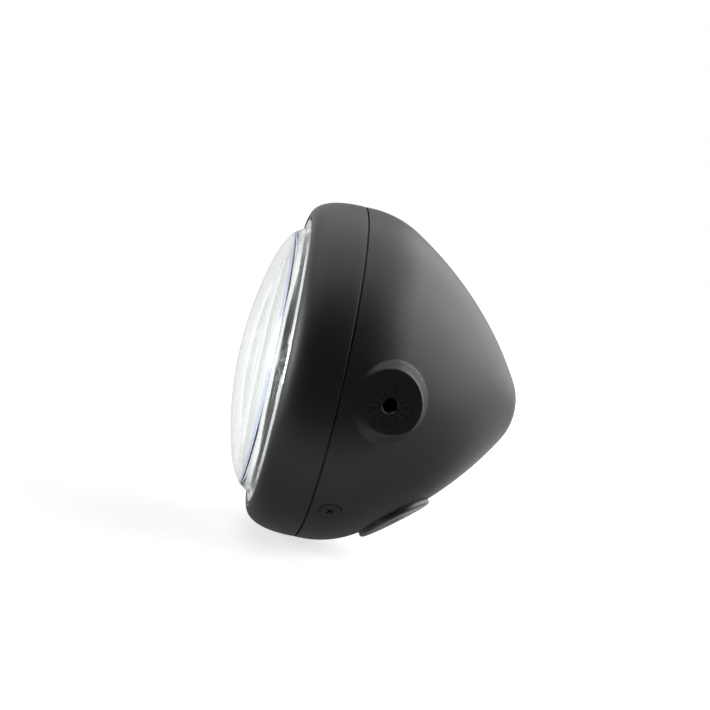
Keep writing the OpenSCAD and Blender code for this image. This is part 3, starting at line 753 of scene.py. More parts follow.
@dataclass(frozen=True)
class Palette:
    """The finishes of the lamp."""

    housing: Finish = Finish("housing_paint", (0.0080, 0.0082, 0.0075), 0.46, grain=1.3, depth=0.004,
                             dust=0.02, spread=0.02)
    rim: Finish = Finish("rim_paint", (0.0080, 0.0082, 0.0075), 0.46, grain=1.3, depth=0.004,
                         dust=0.02, spread=0.02)
    screw: Finish = Finish("black_screw", (0.012, 0.012, 0.012), 0.38, grain=0.3, depth=0.004,
                           metal=0.3, wear=0.25, bare=(0.12, 0.12, 0.12))
    bush: Finish = BushFinish("bush_steel", (0.0080, 0.0081, 0.0076), 0.38, grain=0.4, depth=0.006,
                              bare=(0.27, 0.26, 0.24))
    zinc: Finish = Finish("zinc_steel", (0.55, 0.55, 0.52), 0.32, grain=0.8, depth=0.004, metal=1.0,
                          spread=0.08, tone=0.15)
    # The clear glass carries a blue ring of painted highlight in its colour, 53.5 mm along the axis.
    glass: Finish = GlassFinish("clear_glass", (0.925, 0.952, 0.936), 0.0, grain=45.0, depth=0.0015,
                                dust=0.15, index=1.5, tone=0.01, highlight_band=53.5)
    bulb: Finish = GlassFinish("bulb_glass", (0.97, 0.98, 0.98), 0.0, grain=6.0, depth=0.02,
                               dust=0.05, index=1.46, tone=0.01)
    rubber: Finish = Finish("black_rubber", (0.015, 0.015, 0.015), 0.6, grain=0.35, depth=0.02,
                            dust=0.06, spread=0.06)
    plug: Finish = Finish("plug_rubber", (0.022, 0.022, 0.021), 0.36, grain=0.35, depth=0.006,
                          dust=0.03, spread=0.04, specular=0.8)
    mirror: Finish = Finish("aluminised_steel", (0.88, 0.89, 0.9), 0.05, grain=22.0, depth=0.006,
                            metal=1.0, spread=0.02, tone=0.01)
    tungsten: Finish = Finish("tungsten", (0.3, 0.29, 0.28), 0.4, grain=0.2, depth=0.01, metal=1.0)
    ceramic: Finish = Finish("dark_ceramic", (0.03, 0.028, 0.026), 0.5, grain=0.5, depth=0.015)
    brass: Finish = Finish("terminal_brass", (0.62, 0.54, 0.36), 0.3, grain=0.6, depth=0.004, metal=1.0,
                           tone=0.12)
    plastic: Finish = Finish("holder_plastic", (0.03, 0.03, 0.032), 0.42, grain=0.5, depth=0.01)
    coat: Finish = Finish("cap_coat", (0.05, 0.052, 0.055), 0.35, grain=0.4, depth=0.006, metal=0.4)


# Housing and what is fixed in it


@dataclass(frozen=True)
class Bowl:
    """The turned skin of the housing: a straight part, two bends and a round nose, in mm."""

    seam_r: float = 82.5
    barrel: float = 4.0
    shoulder_r: float = 48.0
    shoulder_turn: float = 30.0
    flank_r: float = 184.0
    flank_end: float = 57.4

    @property
    def shoulder_c(self) -> Point:
        """Centre of the first bend."""
        return self.seam_r - self.shoulder_r, self.barrel

    @property
    def flank_c(self) -> Point:
        """Centre of the long flank."""
        a, d = math.radians(self.shoulder_turn), self.shoulder_r - self.flank_r
        return self.shoulder_c[0] + d * math.cos(a), self.shoulder_c[1] + d * math.sin(a)

    @property
    def nose_r(self) -> float:
        """Radius of the round nose."""
        return self.flank_r + self.flank_c[0] / math.cos(math.radians(self.flank_end))

    @property
    def nose_c(self) -> Point:
        """Centre of the round nose, on the lamp's axis."""
        a = math.radians(self.flank_end)
        return 0.0, self.flank_c[1] + (self.flank_r - self.nose_r) * math.sin(a)

    def bend(self, back: float) -> tuple[Point, float]:
        """Gives the bend that the skin follows at a distance behind the seam.

        Args:
            back: Distance behind the seam, in mm.

        Returns:
            Centre and radius of the bend.
        """
        if back <= self.shoulder_c[1] + self.shoulder_r * math.sin(math.radians(self.shoulder_turn)):
            return self.shoulder_c, self.shoulder_r
        if back <= self.flank_c[1] + self.flank_r * math.sin(math.radians(self.flank_end)):
            return self.flank_c, self.flank_r
        return self.nose_c, self.nose_r

    def radius(self, back: float) -> float:
        """Radius of the skin at a distance behind the seam, in mm."""
        centre, bend_r = self.bend(back)
        along = max(back - centre[1], 0.0) if bend_r == self.shoulder_r else back - centre[1]
        return centre[0] + math.sqrt(max(bend_r ** 2 - along ** 2, 0.0))

    def points(self, depth: float, fine: float) -> list[Point]:
        """Gives the section of the skin from the first bend to the tip.

        Args:
            depth: How far the section lies under the skin, in mm.
            fine: Length of a step, in mm.

        Returns:
            The points, from the seam backwards.
        """
        made: list[Point] = []
        for centre, bend_r, start, end in (
                (self.shoulder_c, self.shoulder_r, 0.0, self.shoulder_turn),
                (self.flank_c, self.flank_r, self.shoulder_turn, self.flank_end),
                (self.nose_c, self.nose_r, self.flank_end, 90.0)):
            steps = max(2, round(math.radians(end - start) * bend_r / fine))
            made += arc(centre, bend_r - depth, start, end, steps)[1 if made else 0:]
        made[-1] = (0.0, made[-1][1])
        return made

    def normal(self, spot: Vector, face: Vector) -> Optional[Vector]:
        """Gives the skin's own normal at a place on it.

        Args:
            spot: The place, in metres.
            face: Normal of the face that it belongs to.

        Returns:
            The normal, or None where the place isn't on the outer skin.
        """
        radius, back = math.hypot(spot.x, spot.z) / MM, spot.y / MM - SEAM_Y
        if back < 0.6 or radius < 0.5 or abs(radius - self.radius(back)) > 0.03:
            return None
        centre, bend_r = self.bend(back)
        out = (radius - centre[0]) / bend_r
        rear = max(back - centre[1], 0.0) / bend_r
        found = Vector((spot.x / MM / radius * out, rear, spot.z / MM / radius * out)).normalized()
        return found if found.dot(face) > 0.9 else None


@dataclass
class SideBoss:
    """A flat round boss that runs out into the skin, in mm.

    Attributes:
        bowl: The skin that it stands on.
        back: Distance of its axis behind the seam.
        face: Distance of its face from the lamp's axis.
        flat_r: Radius of the flat face.
        lift: How much wider the flat face is towards the top.
        lift_to: Where it is widest, in degrees from the rear.
        skirt: Width of the foot, at the rear and at the front.
        flare: How much wider the foot is low at the front.
        dip: How much smaller the flat face is there.
        low_to: Where both are most, in degrees from the rear.
        sweep: How soon the foot turns from the wall to the skin, at the rear and at the front.
        columns: Steps round the axis.
    """

    bowl: Bowl
    back: float = -SEAM_Y
    face: float = 82.8
    flat_r: float = 14.0
    lift: float = 2.0
    lift_to: float = 100.0
    skirt: Point = (5.6, 3.2)
    flare: float = 3.2
    dip: float = 2.2
    low_to: float = -130.0
    sweep: Point = (4.4, 2.1)
    columns: int = 144

    def edge(self, turn: float) -> float:
        """Radius of the flat face, for an angle counted from the rear."""
        high = max(math.cos(turn - math.radians(self.lift_to)), 0.0)
        return self.flat_r + self.lift * high ** 2 - self.dip * self.low(turn)

    def low(self, turn: float) -> float:
        """How far a direction, counted from the rear, points low to the front, from 0 to 1."""
        return max(math.cos(turn - math.radians(self.low_to)), 0.0)

    def foot(self, turn: float) -> float:
        """Radius where the foot meets the skin, for an angle counted from the rear."""
        rear, front = self.skirt
        width = front + (rear - front) * (1 + math.cos(turn)) / 2 + self.flare * self.low(turn)
        return self.edge(turn) + width

    def reach(self, turn: float) -> float:
        """How far the patch round the boss reaches, for an angle counted from the rear."""
        return self.foot(turn) + 0.5

    def skin(self, rho: float, turn: float) -> float:
        """Distance of the skin from the lamp's upright plane, beside the boss's axis."""
        back, up = self.back + rho * math.cos(turn), rho * math.sin(turn)
        return math.sqrt(self.bowl.radius(back) ** 2 - up ** 2)

    def column(self, turn: float) -> list[Point]:
        """Gives the boss's section in one direction.

        Args:
            turn: Direction round the boss's axis, from the rear, in radians.

        Returns:
            Points as (distance from the boss's axis, distance from the upright plane).
        """
        start, end = self.edge(turn), self.foot(turn)
        power = self.sweep[1] + (self.sweep[0] - self.sweep[1]) * max(math.cos(turn), 0.0)
        made = [(r * start, self.face) for r in (0.3, 0.7, 0.95)]
        for i in range(41):
            t = i / 40
            rho = start + (end - start) * t
            share = (1 - t) ** power * (1 + power * t)
            skin = self.skin(rho, turn)
            made.append((rho, skin + (self.face - skin) * share))
        made.append((self.reach(turn), self.skin(self.reach(turn), turn)))
        return made

    def patch(self, form: Form, side: Side) -> list[bmesh.types.BMVert]:
        """Lays the boss over the skin.

        Args:
            form: The mesh of the housing.
            side: Which side of the lamp.

        Returns:
            The ring of vertices at its outer edge.
        """
        turns = [2 * math.pi * j / self.columns for j in range(self.columns)]
        sections = [self.column(turn) for turn in turns]
        grid = [[Vector((side.value * sections[j][i][1],
                         sections[j][i][0] * math.cos(turn) + self.back + SEAM_Y,
                         sections[j][i][0] * math.sin(turn))) * MM
                 for j, turn in enumerate(turns)] for i in range(len(sections[0]))]
        middle = [Vector((side.value * self.face, self.back + SEAM_Y, 0)) * MM]
        return form.rows([middle, *grid], True, False)[-1]


@dataclass
class Housing:
    """The painted bowl with its bosses, screw seats and plug seat, in mm.

    The pads and bores are sections, as pairs of a radius and a distance along their own axis.
    """

    bowl: Bowl = field(default_factory=Bowl)
    wall: float = 2.2
    edge_break: float = 0.25
    groove: float = 0.75
    spigot_r: float = 80.9
    spigot_t: float = 1.5
    spigot_len: float = 5.5
    segments: int = 288
    screw: ScrewPlace = ScrewPlace()
    screw_play: float = 0.28
    head_r: float = 5.48
    shank_r: float = 2.8
    boss_pad: tuple[Point, ...] = ((0, 68.3), (10.5, 68.3), (10.5, 79.0), (0, 79.0))
    screw_pad: tuple[Point, ...] = ((0, 75.3), (8, 75.3), (8, 79.8), (0, 79.8))
    bush_bore: tuple[Point, ...] = ((0, 64.8), (7.15, 64.8), (7.15, 80.3), (9.52, 80.3), (9.52, 84), (0, 84))
    plug_clock: float = 18.5
    plug_slope: float = 36.7
    seat_sink: float = 2.1
    seat_r: float = 19.8
    seat_t: float = 3.0
    hole_r: float = 13.0

    def plug_frame(self) -> Matrix:
        """The frame of the plug's seat, with Z pointing out of the housing."""
        a, r = math.radians(self.plug_slope), self.bowl.flank_r - self.seat_sink
        centre = self.bowl.flank_c
        return on_axis(self.plug_clock, centre[1] + r * math.sin(a), self.plug_slope,
                       centre[0] + r * math.cos(a))

    def shell(self) -> bpy.types.Object:
        """Makes the closed shell with both bosses on it.

        Returns:
            The shell.
        """
        boss = SideBoss(self.bowl)
        skin = self.bowl.points(0.0, 1.5)
        small = self.edge_break
        soft = arc((self.bowl.seam_r - small, self.groove + small), small, -90, 0, 4)
        section = [(self.spigot_r - self.spigot_t, -self.spigot_len), (self.spigot_r, -self.spigot_len),
                   (self.spigot_r, self.groove), *soft,
                   *line((self.bowl.seam_r, 1.2), (self.bowl.seam_r, 3.0), 2)]
        first = len(section)
        section += skin
        last = len(section)
        section += list(reversed(self.bowl.points(self.wall, 6.0)))
        section += [(self.bowl.seam_r - self.wall, 1.5), (self.spigot_r - self.spigot_t, 1.5)]
        beside, margin = 40.0, 1.3

        def clear(i: int, j: int) -> bool:
            """Whether the face at a row and a column is clear of both bosses."""
            if not first - 2 <= i < last:
                return True
            for k, m in ((i, j), (i + 1, j), (i, j + 1), (i + 1, j + 1)):
                radius, back = section[min(k, last - 1)]
                a = 2 * math.pi * m / self.segments
                dy, dz = back - boss.back, -radius * math.cos(a)
                near = math.hypot(dy, dz) < boss.reach(math.atan2(dz, dy)) + margin
                if near and radius * abs(math.sin(a)) > beside:
                    return False
            return True

        form = Form()
        form.lathe(section, self.segments, keep=clear)
        rims = [e for e in form.bm.edges if e.is_boundary]
        for side in Side:
            self.stitch(form, [e for e in rims if e.verts[0].co.x * side.value > 0],
                        boss.patch(form, side))
        return form.done("housing_shell")

    @staticmethod
    def stitch(form: Form, outer: Sequence[bmesh.types.BMEdge], ring: Sequence[bmesh.types.BMVert]) -> None:
        """Closes the gap between the hole in the skin and the edge of a boss.

        Args:
            form: The mesh of the housing.
            outer: Edges of the hole in the skin.
            ring: Vertices at the boss's outer edge.
        """
        verts = list({v for e in outer for v in e.verts}) + list(ring)
        order = {v: i for i, v in enumerate(verts)}
        flat = [Vector((v.co.y, v.co.z)) / MM for v in verts]
        rim = [(order[e.verts[0]], order[e.verts[1]]) for e in outer]
        loop = [(order[v], order[ring[(i + 1) % len(ring)]]) for i, v in enumerate(ring)]

        def inside(spot: Vector, edges: Sequence[tuple[int, int]]) -> bool:
            """Whether a flat place lies inside a closed run of edges."""
            hits = 0
            for i, j in edges:
                a, b = flat[i], flat[j]
                if (a.y > spot.y) != (b.y > spot.y):
                    hits += spot.x < a.x + (spot.y - a.y) * (b.x - a.x) / (b.y - a.y)
            return hits % 2 == 1

        points, _, faces, origin, _, _ = delaunay_2d_cdt(flat, rim + loop, [], 0, 1e-6)
        for corners in faces:
            centre = sum((points[c] for c in corners), Vector((0, 0))) / len(corners)
            if inside(centre, rim) and not inside(centre, loop):
                form.bm.faces.new([verts[origin[c][0]] for c in corners])

    def solids_inside(self) -> bpy.types.Object:
        """Makes the round bosses, pads and seat that stand on the inside of the shell.

        Returns:
            One object with all of them.
        """
        form = Form()
        for side in Side:
            form.lathe(self.boss_pad, 64, False, mount_frame(side))
            form.lathe(self.screw_pad, 48, False, on_axis(self.screw.clock * side.value, self.screw.back))
        form.lathe([(0, -self.seat_t), (self.seat_r, -self.seat_t), (self.seat_r, 0), (0, 0)], 128, False,
                   self.plug_frame())
        return form.done("inner_solids")

    def openings(self) -> bpy.types.Object:
        """Makes the spaces that are cut out: the bores, the countersinks and the plug's seat and hole.

        Returns:
            One object with all of them.
        """
        form = Form()
        head, shank = self.head_r, self.shank_r
        for side in Side:
            form.lathe(self.bush_bore, 96, False, mount_frame(side))
            form.lathe([(0, -8.3), (shank, -8.3), (shank, -3.0), (head, -0.4), (head, 4), (0, 4)], 96, False,
                       self.screw.frame_of(side, self.screw_play))
        form.lathe([(0, -12), (self.hole_r, -12), (self.hole_r, 0), (self.seat_r, 0),
                    (self.seat_r, 12), (0, 12)],
                   160, False, self.plug_frame())
        return form.done("openings")

    def build(self, palette: Palette) -> None:
        """Makes the housing and dresses it."""
        shell = self.shell()
        combine(shell, self.solids_inside(), Join.ADD)
        combine(shell, self.openings(), Join.CUT)
        true_normals(shell.data, self.bowl.normal)
        settle(shell, palette.housing.build(), ("housing",))


@dataclass
class SideBush:
    """A threaded steel bush with radial grooves on its flange, in mm."""

    side: Side
    face: float = 82.8
    length: float = 17.0
    core_r: float = 3.4
    thread_r: float = 4.0
    pitch: float = 1.25
    chamfer: float = 0.6
    body_r: float = 7.0
    flange_r: float = 9.5
    flange_t: float = 2.5
    grooves: int = 14
    groove_w: float = 0.9
    groove_h: float = 0.17

    def offsets(self) -> list[float]:
        """Places of a groove's columns, as distances from its middle, in mm at the flange's edge."""
        half = self.groove_w / 2
        return [-half, -half / 2, 0.0, half / 2, half]

    @property
    def mouth_r(self) -> float:
        """Radius of the chamfered mouth of the thread, in mm."""
        return self.core_r + self.chamfer

    def angle(self, column: int, rho: float) -> float:
        """Angle of a column at a distance from the axis, so that the grooves keep their width.

        Args:
            column: Number of the column.
            rho: Distance from the axis, in mm.

        Returns:
            The angle, in radians.
        """
        share = 2 * math.pi / self.grooves
        index, part = divmod(column, 9)
        across = self.offsets()
        if part < 5:
            inner = math.asin(across[part] / rho)
        else:
            start = math.asin(across[-1] / rho)
            end = share + math.asin(across[0] / rho)
            inner = start + (end - start) * (part - 4) / 5
        return index * share + inner

    def depth(self, column: int) -> float:
        """Depth of the flange's face at a column, in mm."""
        return self.groove_h * {1: 0.6, 2: 1.0, 3: 0.6}.get(column % 9, 0.0)

    def thread(self, rho_angle: float, height: float) -> float:
        """Radius of the threaded bore, in mm, at an angle and a height."""
        phase = (height / self.pitch - rho_angle / (2 * math.pi)) % 1.0
        flank = min(abs(phase - 0.5) * 2 * 1.35, 1.0)
        return self.core_r + (self.thread_r - self.core_r) * (1 - flank)

    def build(self, finish: bpy.types.Material) -> None:
        """Makes the bush and dresses it."""
        columns = self.grooves * 9
        at = mount_frame(self.side)
        grid: list[list[Vector]] = []

        def row(rho: Callable[[int, float], float], height: Callable[[int], float], even: float) -> None:
            """Adds one row from the radius and the height of each column."""
            made = []
            for j in range(columns):
                a = self.angle(j, even)
                r = rho(j, a)
                made.append(at @ Vector((r * math.cos(a), r * math.sin(a), height(j))))
            grid.append(made)

        steps = int(self.length / self.pitch * 10)
        top, bottom = self.face - self.chamfer, self.face - self.length
        row(lambda j, a: self.mouth_r, lambda j: self.face, self.mouth_r)
        for i in range(steps + 1):
            level = top + (bottom - top) * i / steps
            row(lambda j, a, z=level: self.thread(a, z), lambda j, z=level: z, self.mouth_r)
        for rho, level in ((self.body_r - 0.4, bottom), (self.body_r, bottom + 0.4),
                           (self.body_r, self.face - self.flange_t),
                            (self.flange_r, self.face - self.flange_t),
                           (self.flange_r, self.face - self.groove_h - 0.3)):
            row(lambda j, a, r=rho: r, lambda j, z=level: z, rho)
        row(lambda j, a: self.flange_r, lambda j: self.face - max(self.depth(j), 0.15), self.flange_r)
        row(lambda j, a: self.flange_r - 0.15, lambda j: self.face - self.depth(j), self.flange_r)
        for rho in (8.0, 6.5, 5.05):
            row(lambda j, a, r=rho: r, lambda j: self.face - self.depth(j), rho)
        row(lambda j, a: 4.95, lambda j: self.face, 5.05)
        form = Form()
        form.rows(grid, True, True)
        piece = form.done("threaded_bush_" + self.side.name.lower(), 30)
        settle(piece, finish, ("mount_bush_" + self.side.name.lower(),))


@dataclass
class CrossScrews:
    """The two countersunk screws that hold the rim to the housing, in mm."""

    place: ScrewPlace = ScrewPlace()
    head_r: float = 5.2
    shank_r: float = 2.5
    length: float = 13.0
    thread_top: float = -3.2
    thread_step: float = 0.4
    thread_depth: float = 0.32
    thread_count: int = 22
    wing: float = 2.1
    wing_w: float = 0.36
    levels: tuple[Point, ...] = ((0.6, 1.12), (0.0, 1.0), (-1.4, 0.62), (-2.1, 0.25))

    def recess(self, at: Matrix) -> bpy.types.Object:
        """Makes the space of the cross recess.

        Args:
            at: Frame of the screw.

        Returns:
            The solid to cut out.
        """
        form = Form()
        grid = []
        for z, scale in self.levels:
            w, r = self.wing_w * (0.7 + 0.3 * scale), self.wing * scale
            inner = w + 0.35 * scale
            ring = []
            for k in range(4):
                turn = Matrix.Rotation(math.radians(90 * k + 45), 4, "Z")
                ring += [turn @ Vector(p) for p in ((r, -w, z), (r + 0.12 * scale, 0, z), (r, w, z),
                                                    (inner, w + 0.08, z), (w + 0.08, inner, z))]
            grid.append([at @ p for p in ring])
        grid = [[at @ Vector((0, 0, 0.6))], *grid, [at @ Vector((0, 0, -2.5))]]
        form.rows(grid, True, False)
        return form.done("recess")

    def build(self, palette: Palette) -> None:
        """Makes both screws as one piece and dresses them."""
        r, d = self.head_r, self.shank_r
        section = [(0, 0.02), (r * 0.55, 0.02), (r - 0.55, -0.02), (r - 0.25, -0.1), (r - 0.06, -0.25),
                   (r, -0.42), (r - 0.08, -0.6), (d, -2.7)]
        for i in range(self.thread_count):
            z = self.thread_top - i * self.thread_step
            section += [(d, z), (d - self.thread_depth, z - self.thread_step / 2)]
        section += [(d - 0.7, -self.length + 0.6), (d - 1.0, -self.length), (0, -self.length)]
        form = Form()
        for side in Side:
            form.lathe(section, 72, False, self.place.frame_of(side))
        both = form.done("cross_screws", 40)
        for side in Side:
            combine(both, self.recess(self.place.frame_of(side)), Join.CUT, 30)
        settle(both, palette.screw.build(), ("rim_screws",))


@dataclass
class WiringPlug:
    """The soft plug that closes the wiring hole, in mm.

    Attributes:
        radius: Outer radius of its disc.
        thick: Thickness of the disc at its middle.
        wall: Height of the disc's side, up to the bevel.
        bevel: Width of the bevel.
        hole_r: Radius of the wiring hole.
        neck_play: Play of the neck in the hole.
        wedge: Slope of the outer face across the lamp.
    """

    radius: float = 18.8
    thick: float = 3.6
    wall: float = 3.2
    bevel: float = 1.1
    hole_r: float = 13.0
    neck_play: float = 0.2
    wedge: float = 0.068

    def build(self, at: Matrix, palette: Palette) -> None:
        """Makes the plug and dresses it.

        Args:
            at: Frame of its seat.
            palette: The finishes.
        """
        neck = self.hole_r - self.neck_play
        section = [(0, -6.4), *line((2, -6.4), (neck - 2.2, -6.4), 4)]
        section += [(neck - 1.5, -6.2), (neck + 1.2, -3.9), (neck + 1.8, -3.6), (neck + 1.8, -3.05),
                    (neck, -3.0), (neck, -1.5), (neck, -0.02), (neck + 0.2, 0.0)]
        section += line((neck + 1, 0.0), (self.radius - 0.4, 0.0), 4)
        section += arc((self.radius - 0.4, 0.4), 0.4, -90, 0, 4)[1:]
        section += arc((self.radius - 0.5, self.wall - 0.5), 0.5, 0, 50, 6)
        top, inner = self.thick, self.radius - self.bevel
        section += line(section[-1], (inner + 0.25, top - 0.12), 4)[1:]
        section += [(inner, top - 0.03), (inner - 0.5, top), (11, top), (6, top), (4.6, top),
                    (4.3, top - 0.06),
                    (3.2, top - 0.5), (1.6, top - 0.62), (0, top - 0.65)]
        form = Form()
        back = at.inverted()
        for row in form.lathe(section, 192, False, at):
            for vert in row:
                own = back @ vert.co
                if own.z > 0:
                    own.z *= 1 + self.wedge * own.x / self.thick
                    vert.co = at @ own
        settle(form.done("wiring_plug", 40), palette.plug.build(), ("bottom_plug",))


# Lamp unit


@dataclass
class TrimRim:
    """The pressed trim ring that rolls over from the seam to the glass, in mm."""

    seam_r: float = 82.5
    face: float = 11.1
    depth: float = 25.0
    sheet: float = 1.2
    roundness: float = 2.5
    lip_r: float = 1.5
    lip_return: float = 3.6
    roll_over: float = 0.9
    edge_break: float = 0.55
    roll_start: float = 4.5

    def roll(self, under: float, start: float, end: float, steps: int) -> list[Point]:
        """Gives points on the rounded section.

        Args:
            under: How far they lie under the outside, in mm.
            start: First angle, in degrees.
            end: Last angle.
            steps: Number of steps.

        Returns:
            The points.
        """
        wide = self.face + self.roll_over
        angles = [math.radians(start + (end - start) * i / steps) for i in range(steps + 1)]
        return [(self.seam_r - wide + (wide - under) * math.cos(a) ** (2 / self.roundness),
                 -(self.depth - under) * math.sin(a) ** (2 / self.roundness)) for a in angles]

    def build(self, palette: Palette) -> None:
        """Makes the rim and dresses it."""
        wide = self.face + self.roll_over
        stop = math.degrees(math.acos(((self.lip_r + self.roll_over) / wide) ** (self.roundness / 2)))
        inner_stop = math.degrees(math.acos(((self.sheet + self.roll_over) / (wide - self.sheet))
                                            ** (self.roundness / 2)))
        front = self.roll(0, stop, stop, 1)[0][1]
        opening = self.seam_r - self.face
        lip_back = front + self.lip_return
        small, lip = self.edge_break, self.lip_r
        section = [(self.seam_r - self.sheet, 0.0), *arc((self.seam_r - small, -small), small, 90, 0, 4)]
        section += self.roll(0, self.roll_start, stop, 56)
        section += arc((opening + lip, front + lip), lip, -90, -180, 10)[1:]
        section += line((opening, lip_back - 1.0), (opening, lip_back - 0.15), 1)
        section += [(opening + 0.15, lip_back), (opening + self.sheet, lip_back)]
        section += self.roll(self.sheet, inner_stop, 6, 24)
        form = Form()
        form.lathe(section, 288)
        settle(form.done("trim_rim"), palette.rim.build(), ("rim",))


@dataclass
class DomedGlass:
    """The clear glass, in mm: crown, bend, shoulder, step, skirt and flange.

    Attributes:
        apex: Place of the front of the crown, behind the seam.
        crown_r: Radius of the crown.
        crown_edge: Angle where the crown ends and the bend starts, in degrees.
        bend_r: Radius of the bend.
        thick: Thickness of the glass.
        shoulder_r: Distance of the shoulder from the axis.
        shoulder_round: Rounding of the shoulder.
        shoulder_end: Slope behind the shoulder, in degrees.
        step_r: Radius where the step meets the front of the skirt.
        step_front: Place of the front of the skirt.
        step_round: Rounding where the step meets the skirt.
        skirt_r: Outer radius of the skirt.
        flange_front: Place of the front of the flange.
        flange_back: Place of its back.
        flange_r: Its outer radius.
        edge: Size of the small bevels.
        skirt_edge: Rounding of the skirt's front edge.
    """

    apex: float = -44.3
    crown_r: float = 180.03
    crown_edge: float = 16.1
    bend_r: float = 38.195
    thick: float = 2.4
    shoulder_r: float = 62.8
    shoulder_round: float = 0.5
    shoulder_end: float = 76.0
    step_r: float = 66.2
    step_front: float = -24.6
    step_round: float = 1.2
    skirt_r: float = 70.6
    flange_front: float = -20.22
    flange_back: float = -16.22
    flange_r: float = 73.4
    edge: float = 0.3
    skirt_edge: float = 0.4

    def wall(self, under: float) -> list[Point]:
        """Gives one side of the glass, from the axis to the skirt.

        Args:
            under: How far it lies under the outside, in mm.

        Returns:
            The points.
        """
        a, end = math.radians(self.crown_edge), math.radians(self.shoulder_end)
        crown_c = (0.0, self.apex + self.crown_r)
        bend_c = ((self.crown_r - self.bend_r) * math.sin(a),
                  crown_c[1] - (self.crown_r - self.bend_r) * math.cos(a))
        reach = math.asin((self.shoulder_r - bend_c[0]) / self.bend_r)
        turn = math.degrees(reach)
        made = front_arc(crown_c, self.crown_r - under, 0, self.crown_edge, 26)
        made[0] = (0.0, self.apex + under)
        made += front_arc(bend_c, self.bend_r - under, self.crown_edge, turn, 30)[1:]
        small, deep = self.shoulder_round, max(self.shoulder_round - under, 0.0)
        centre = (bend_c[0] + (self.bend_r - small) * math.sin(reach),
                  bend_c[1] - (self.bend_r - small) * math.cos(reach))
        if deep:
            made += front_arc(centre, deep, turn, self.shoulder_end, 8)[1:]
        else:
            made.pop()
            lean = (reach + end) / 2
            gap = (under - small) / math.cos(end - lean)
            made.append((centre[0] - gap * math.sin(lean), centre[1] + gap * math.cos(lean)))
        fillet = self.step_round + under
        low = self.step_front + under
        foot = (self.step_r - under * math.sin(end), low - fillet * (1 - math.cos(end)))
        before = (foot[0] - self.edge * math.cos(end), foot[1] - self.edge * math.sin(end))
        made += line(made[-1], before, 3)[1:]
        core = (foot[0] + fillet * math.sin(end), foot[1] - fillet * math.cos(end))
        made += arc(core, fillet, 180 - (90 - self.shoulder_end), 90, 8)
        return made

    def build(self, palette: Palette) -> None:
        """Makes the glass and dresses it."""
        lip, small, corner = self.skirt_r - self.thick, self.edge, self.skirt_edge
        section = self.wall(0.0)
        section += line(section[-1], (self.skirt_r - corner, self.step_front), 3)[1:]
        section += front_arc((self.skirt_r - corner, self.step_front + corner), corner, 0, 90, 5)[1:]
        section += [(self.skirt_r, self.flange_front), (self.flange_r - small, self.flange_front),
                    (self.flange_r, self.flange_front + small), (self.flange_r, self.flange_back - small),
                    (self.flange_r - small, self.flange_back)]
        section += [(lip + small, self.flange_back), (lip, self.flange_back - small)]
        inside = self.wall(self.thick)
        section += [(lip, inside[-1][1] + small), (lip - small, inside[-1][1])]
        section += list(reversed(inside))
        form = Form()
        form.lathe(section, 224, False)
        settle(form.done("domed_glass"), palette.glass.build(), ("lens",))


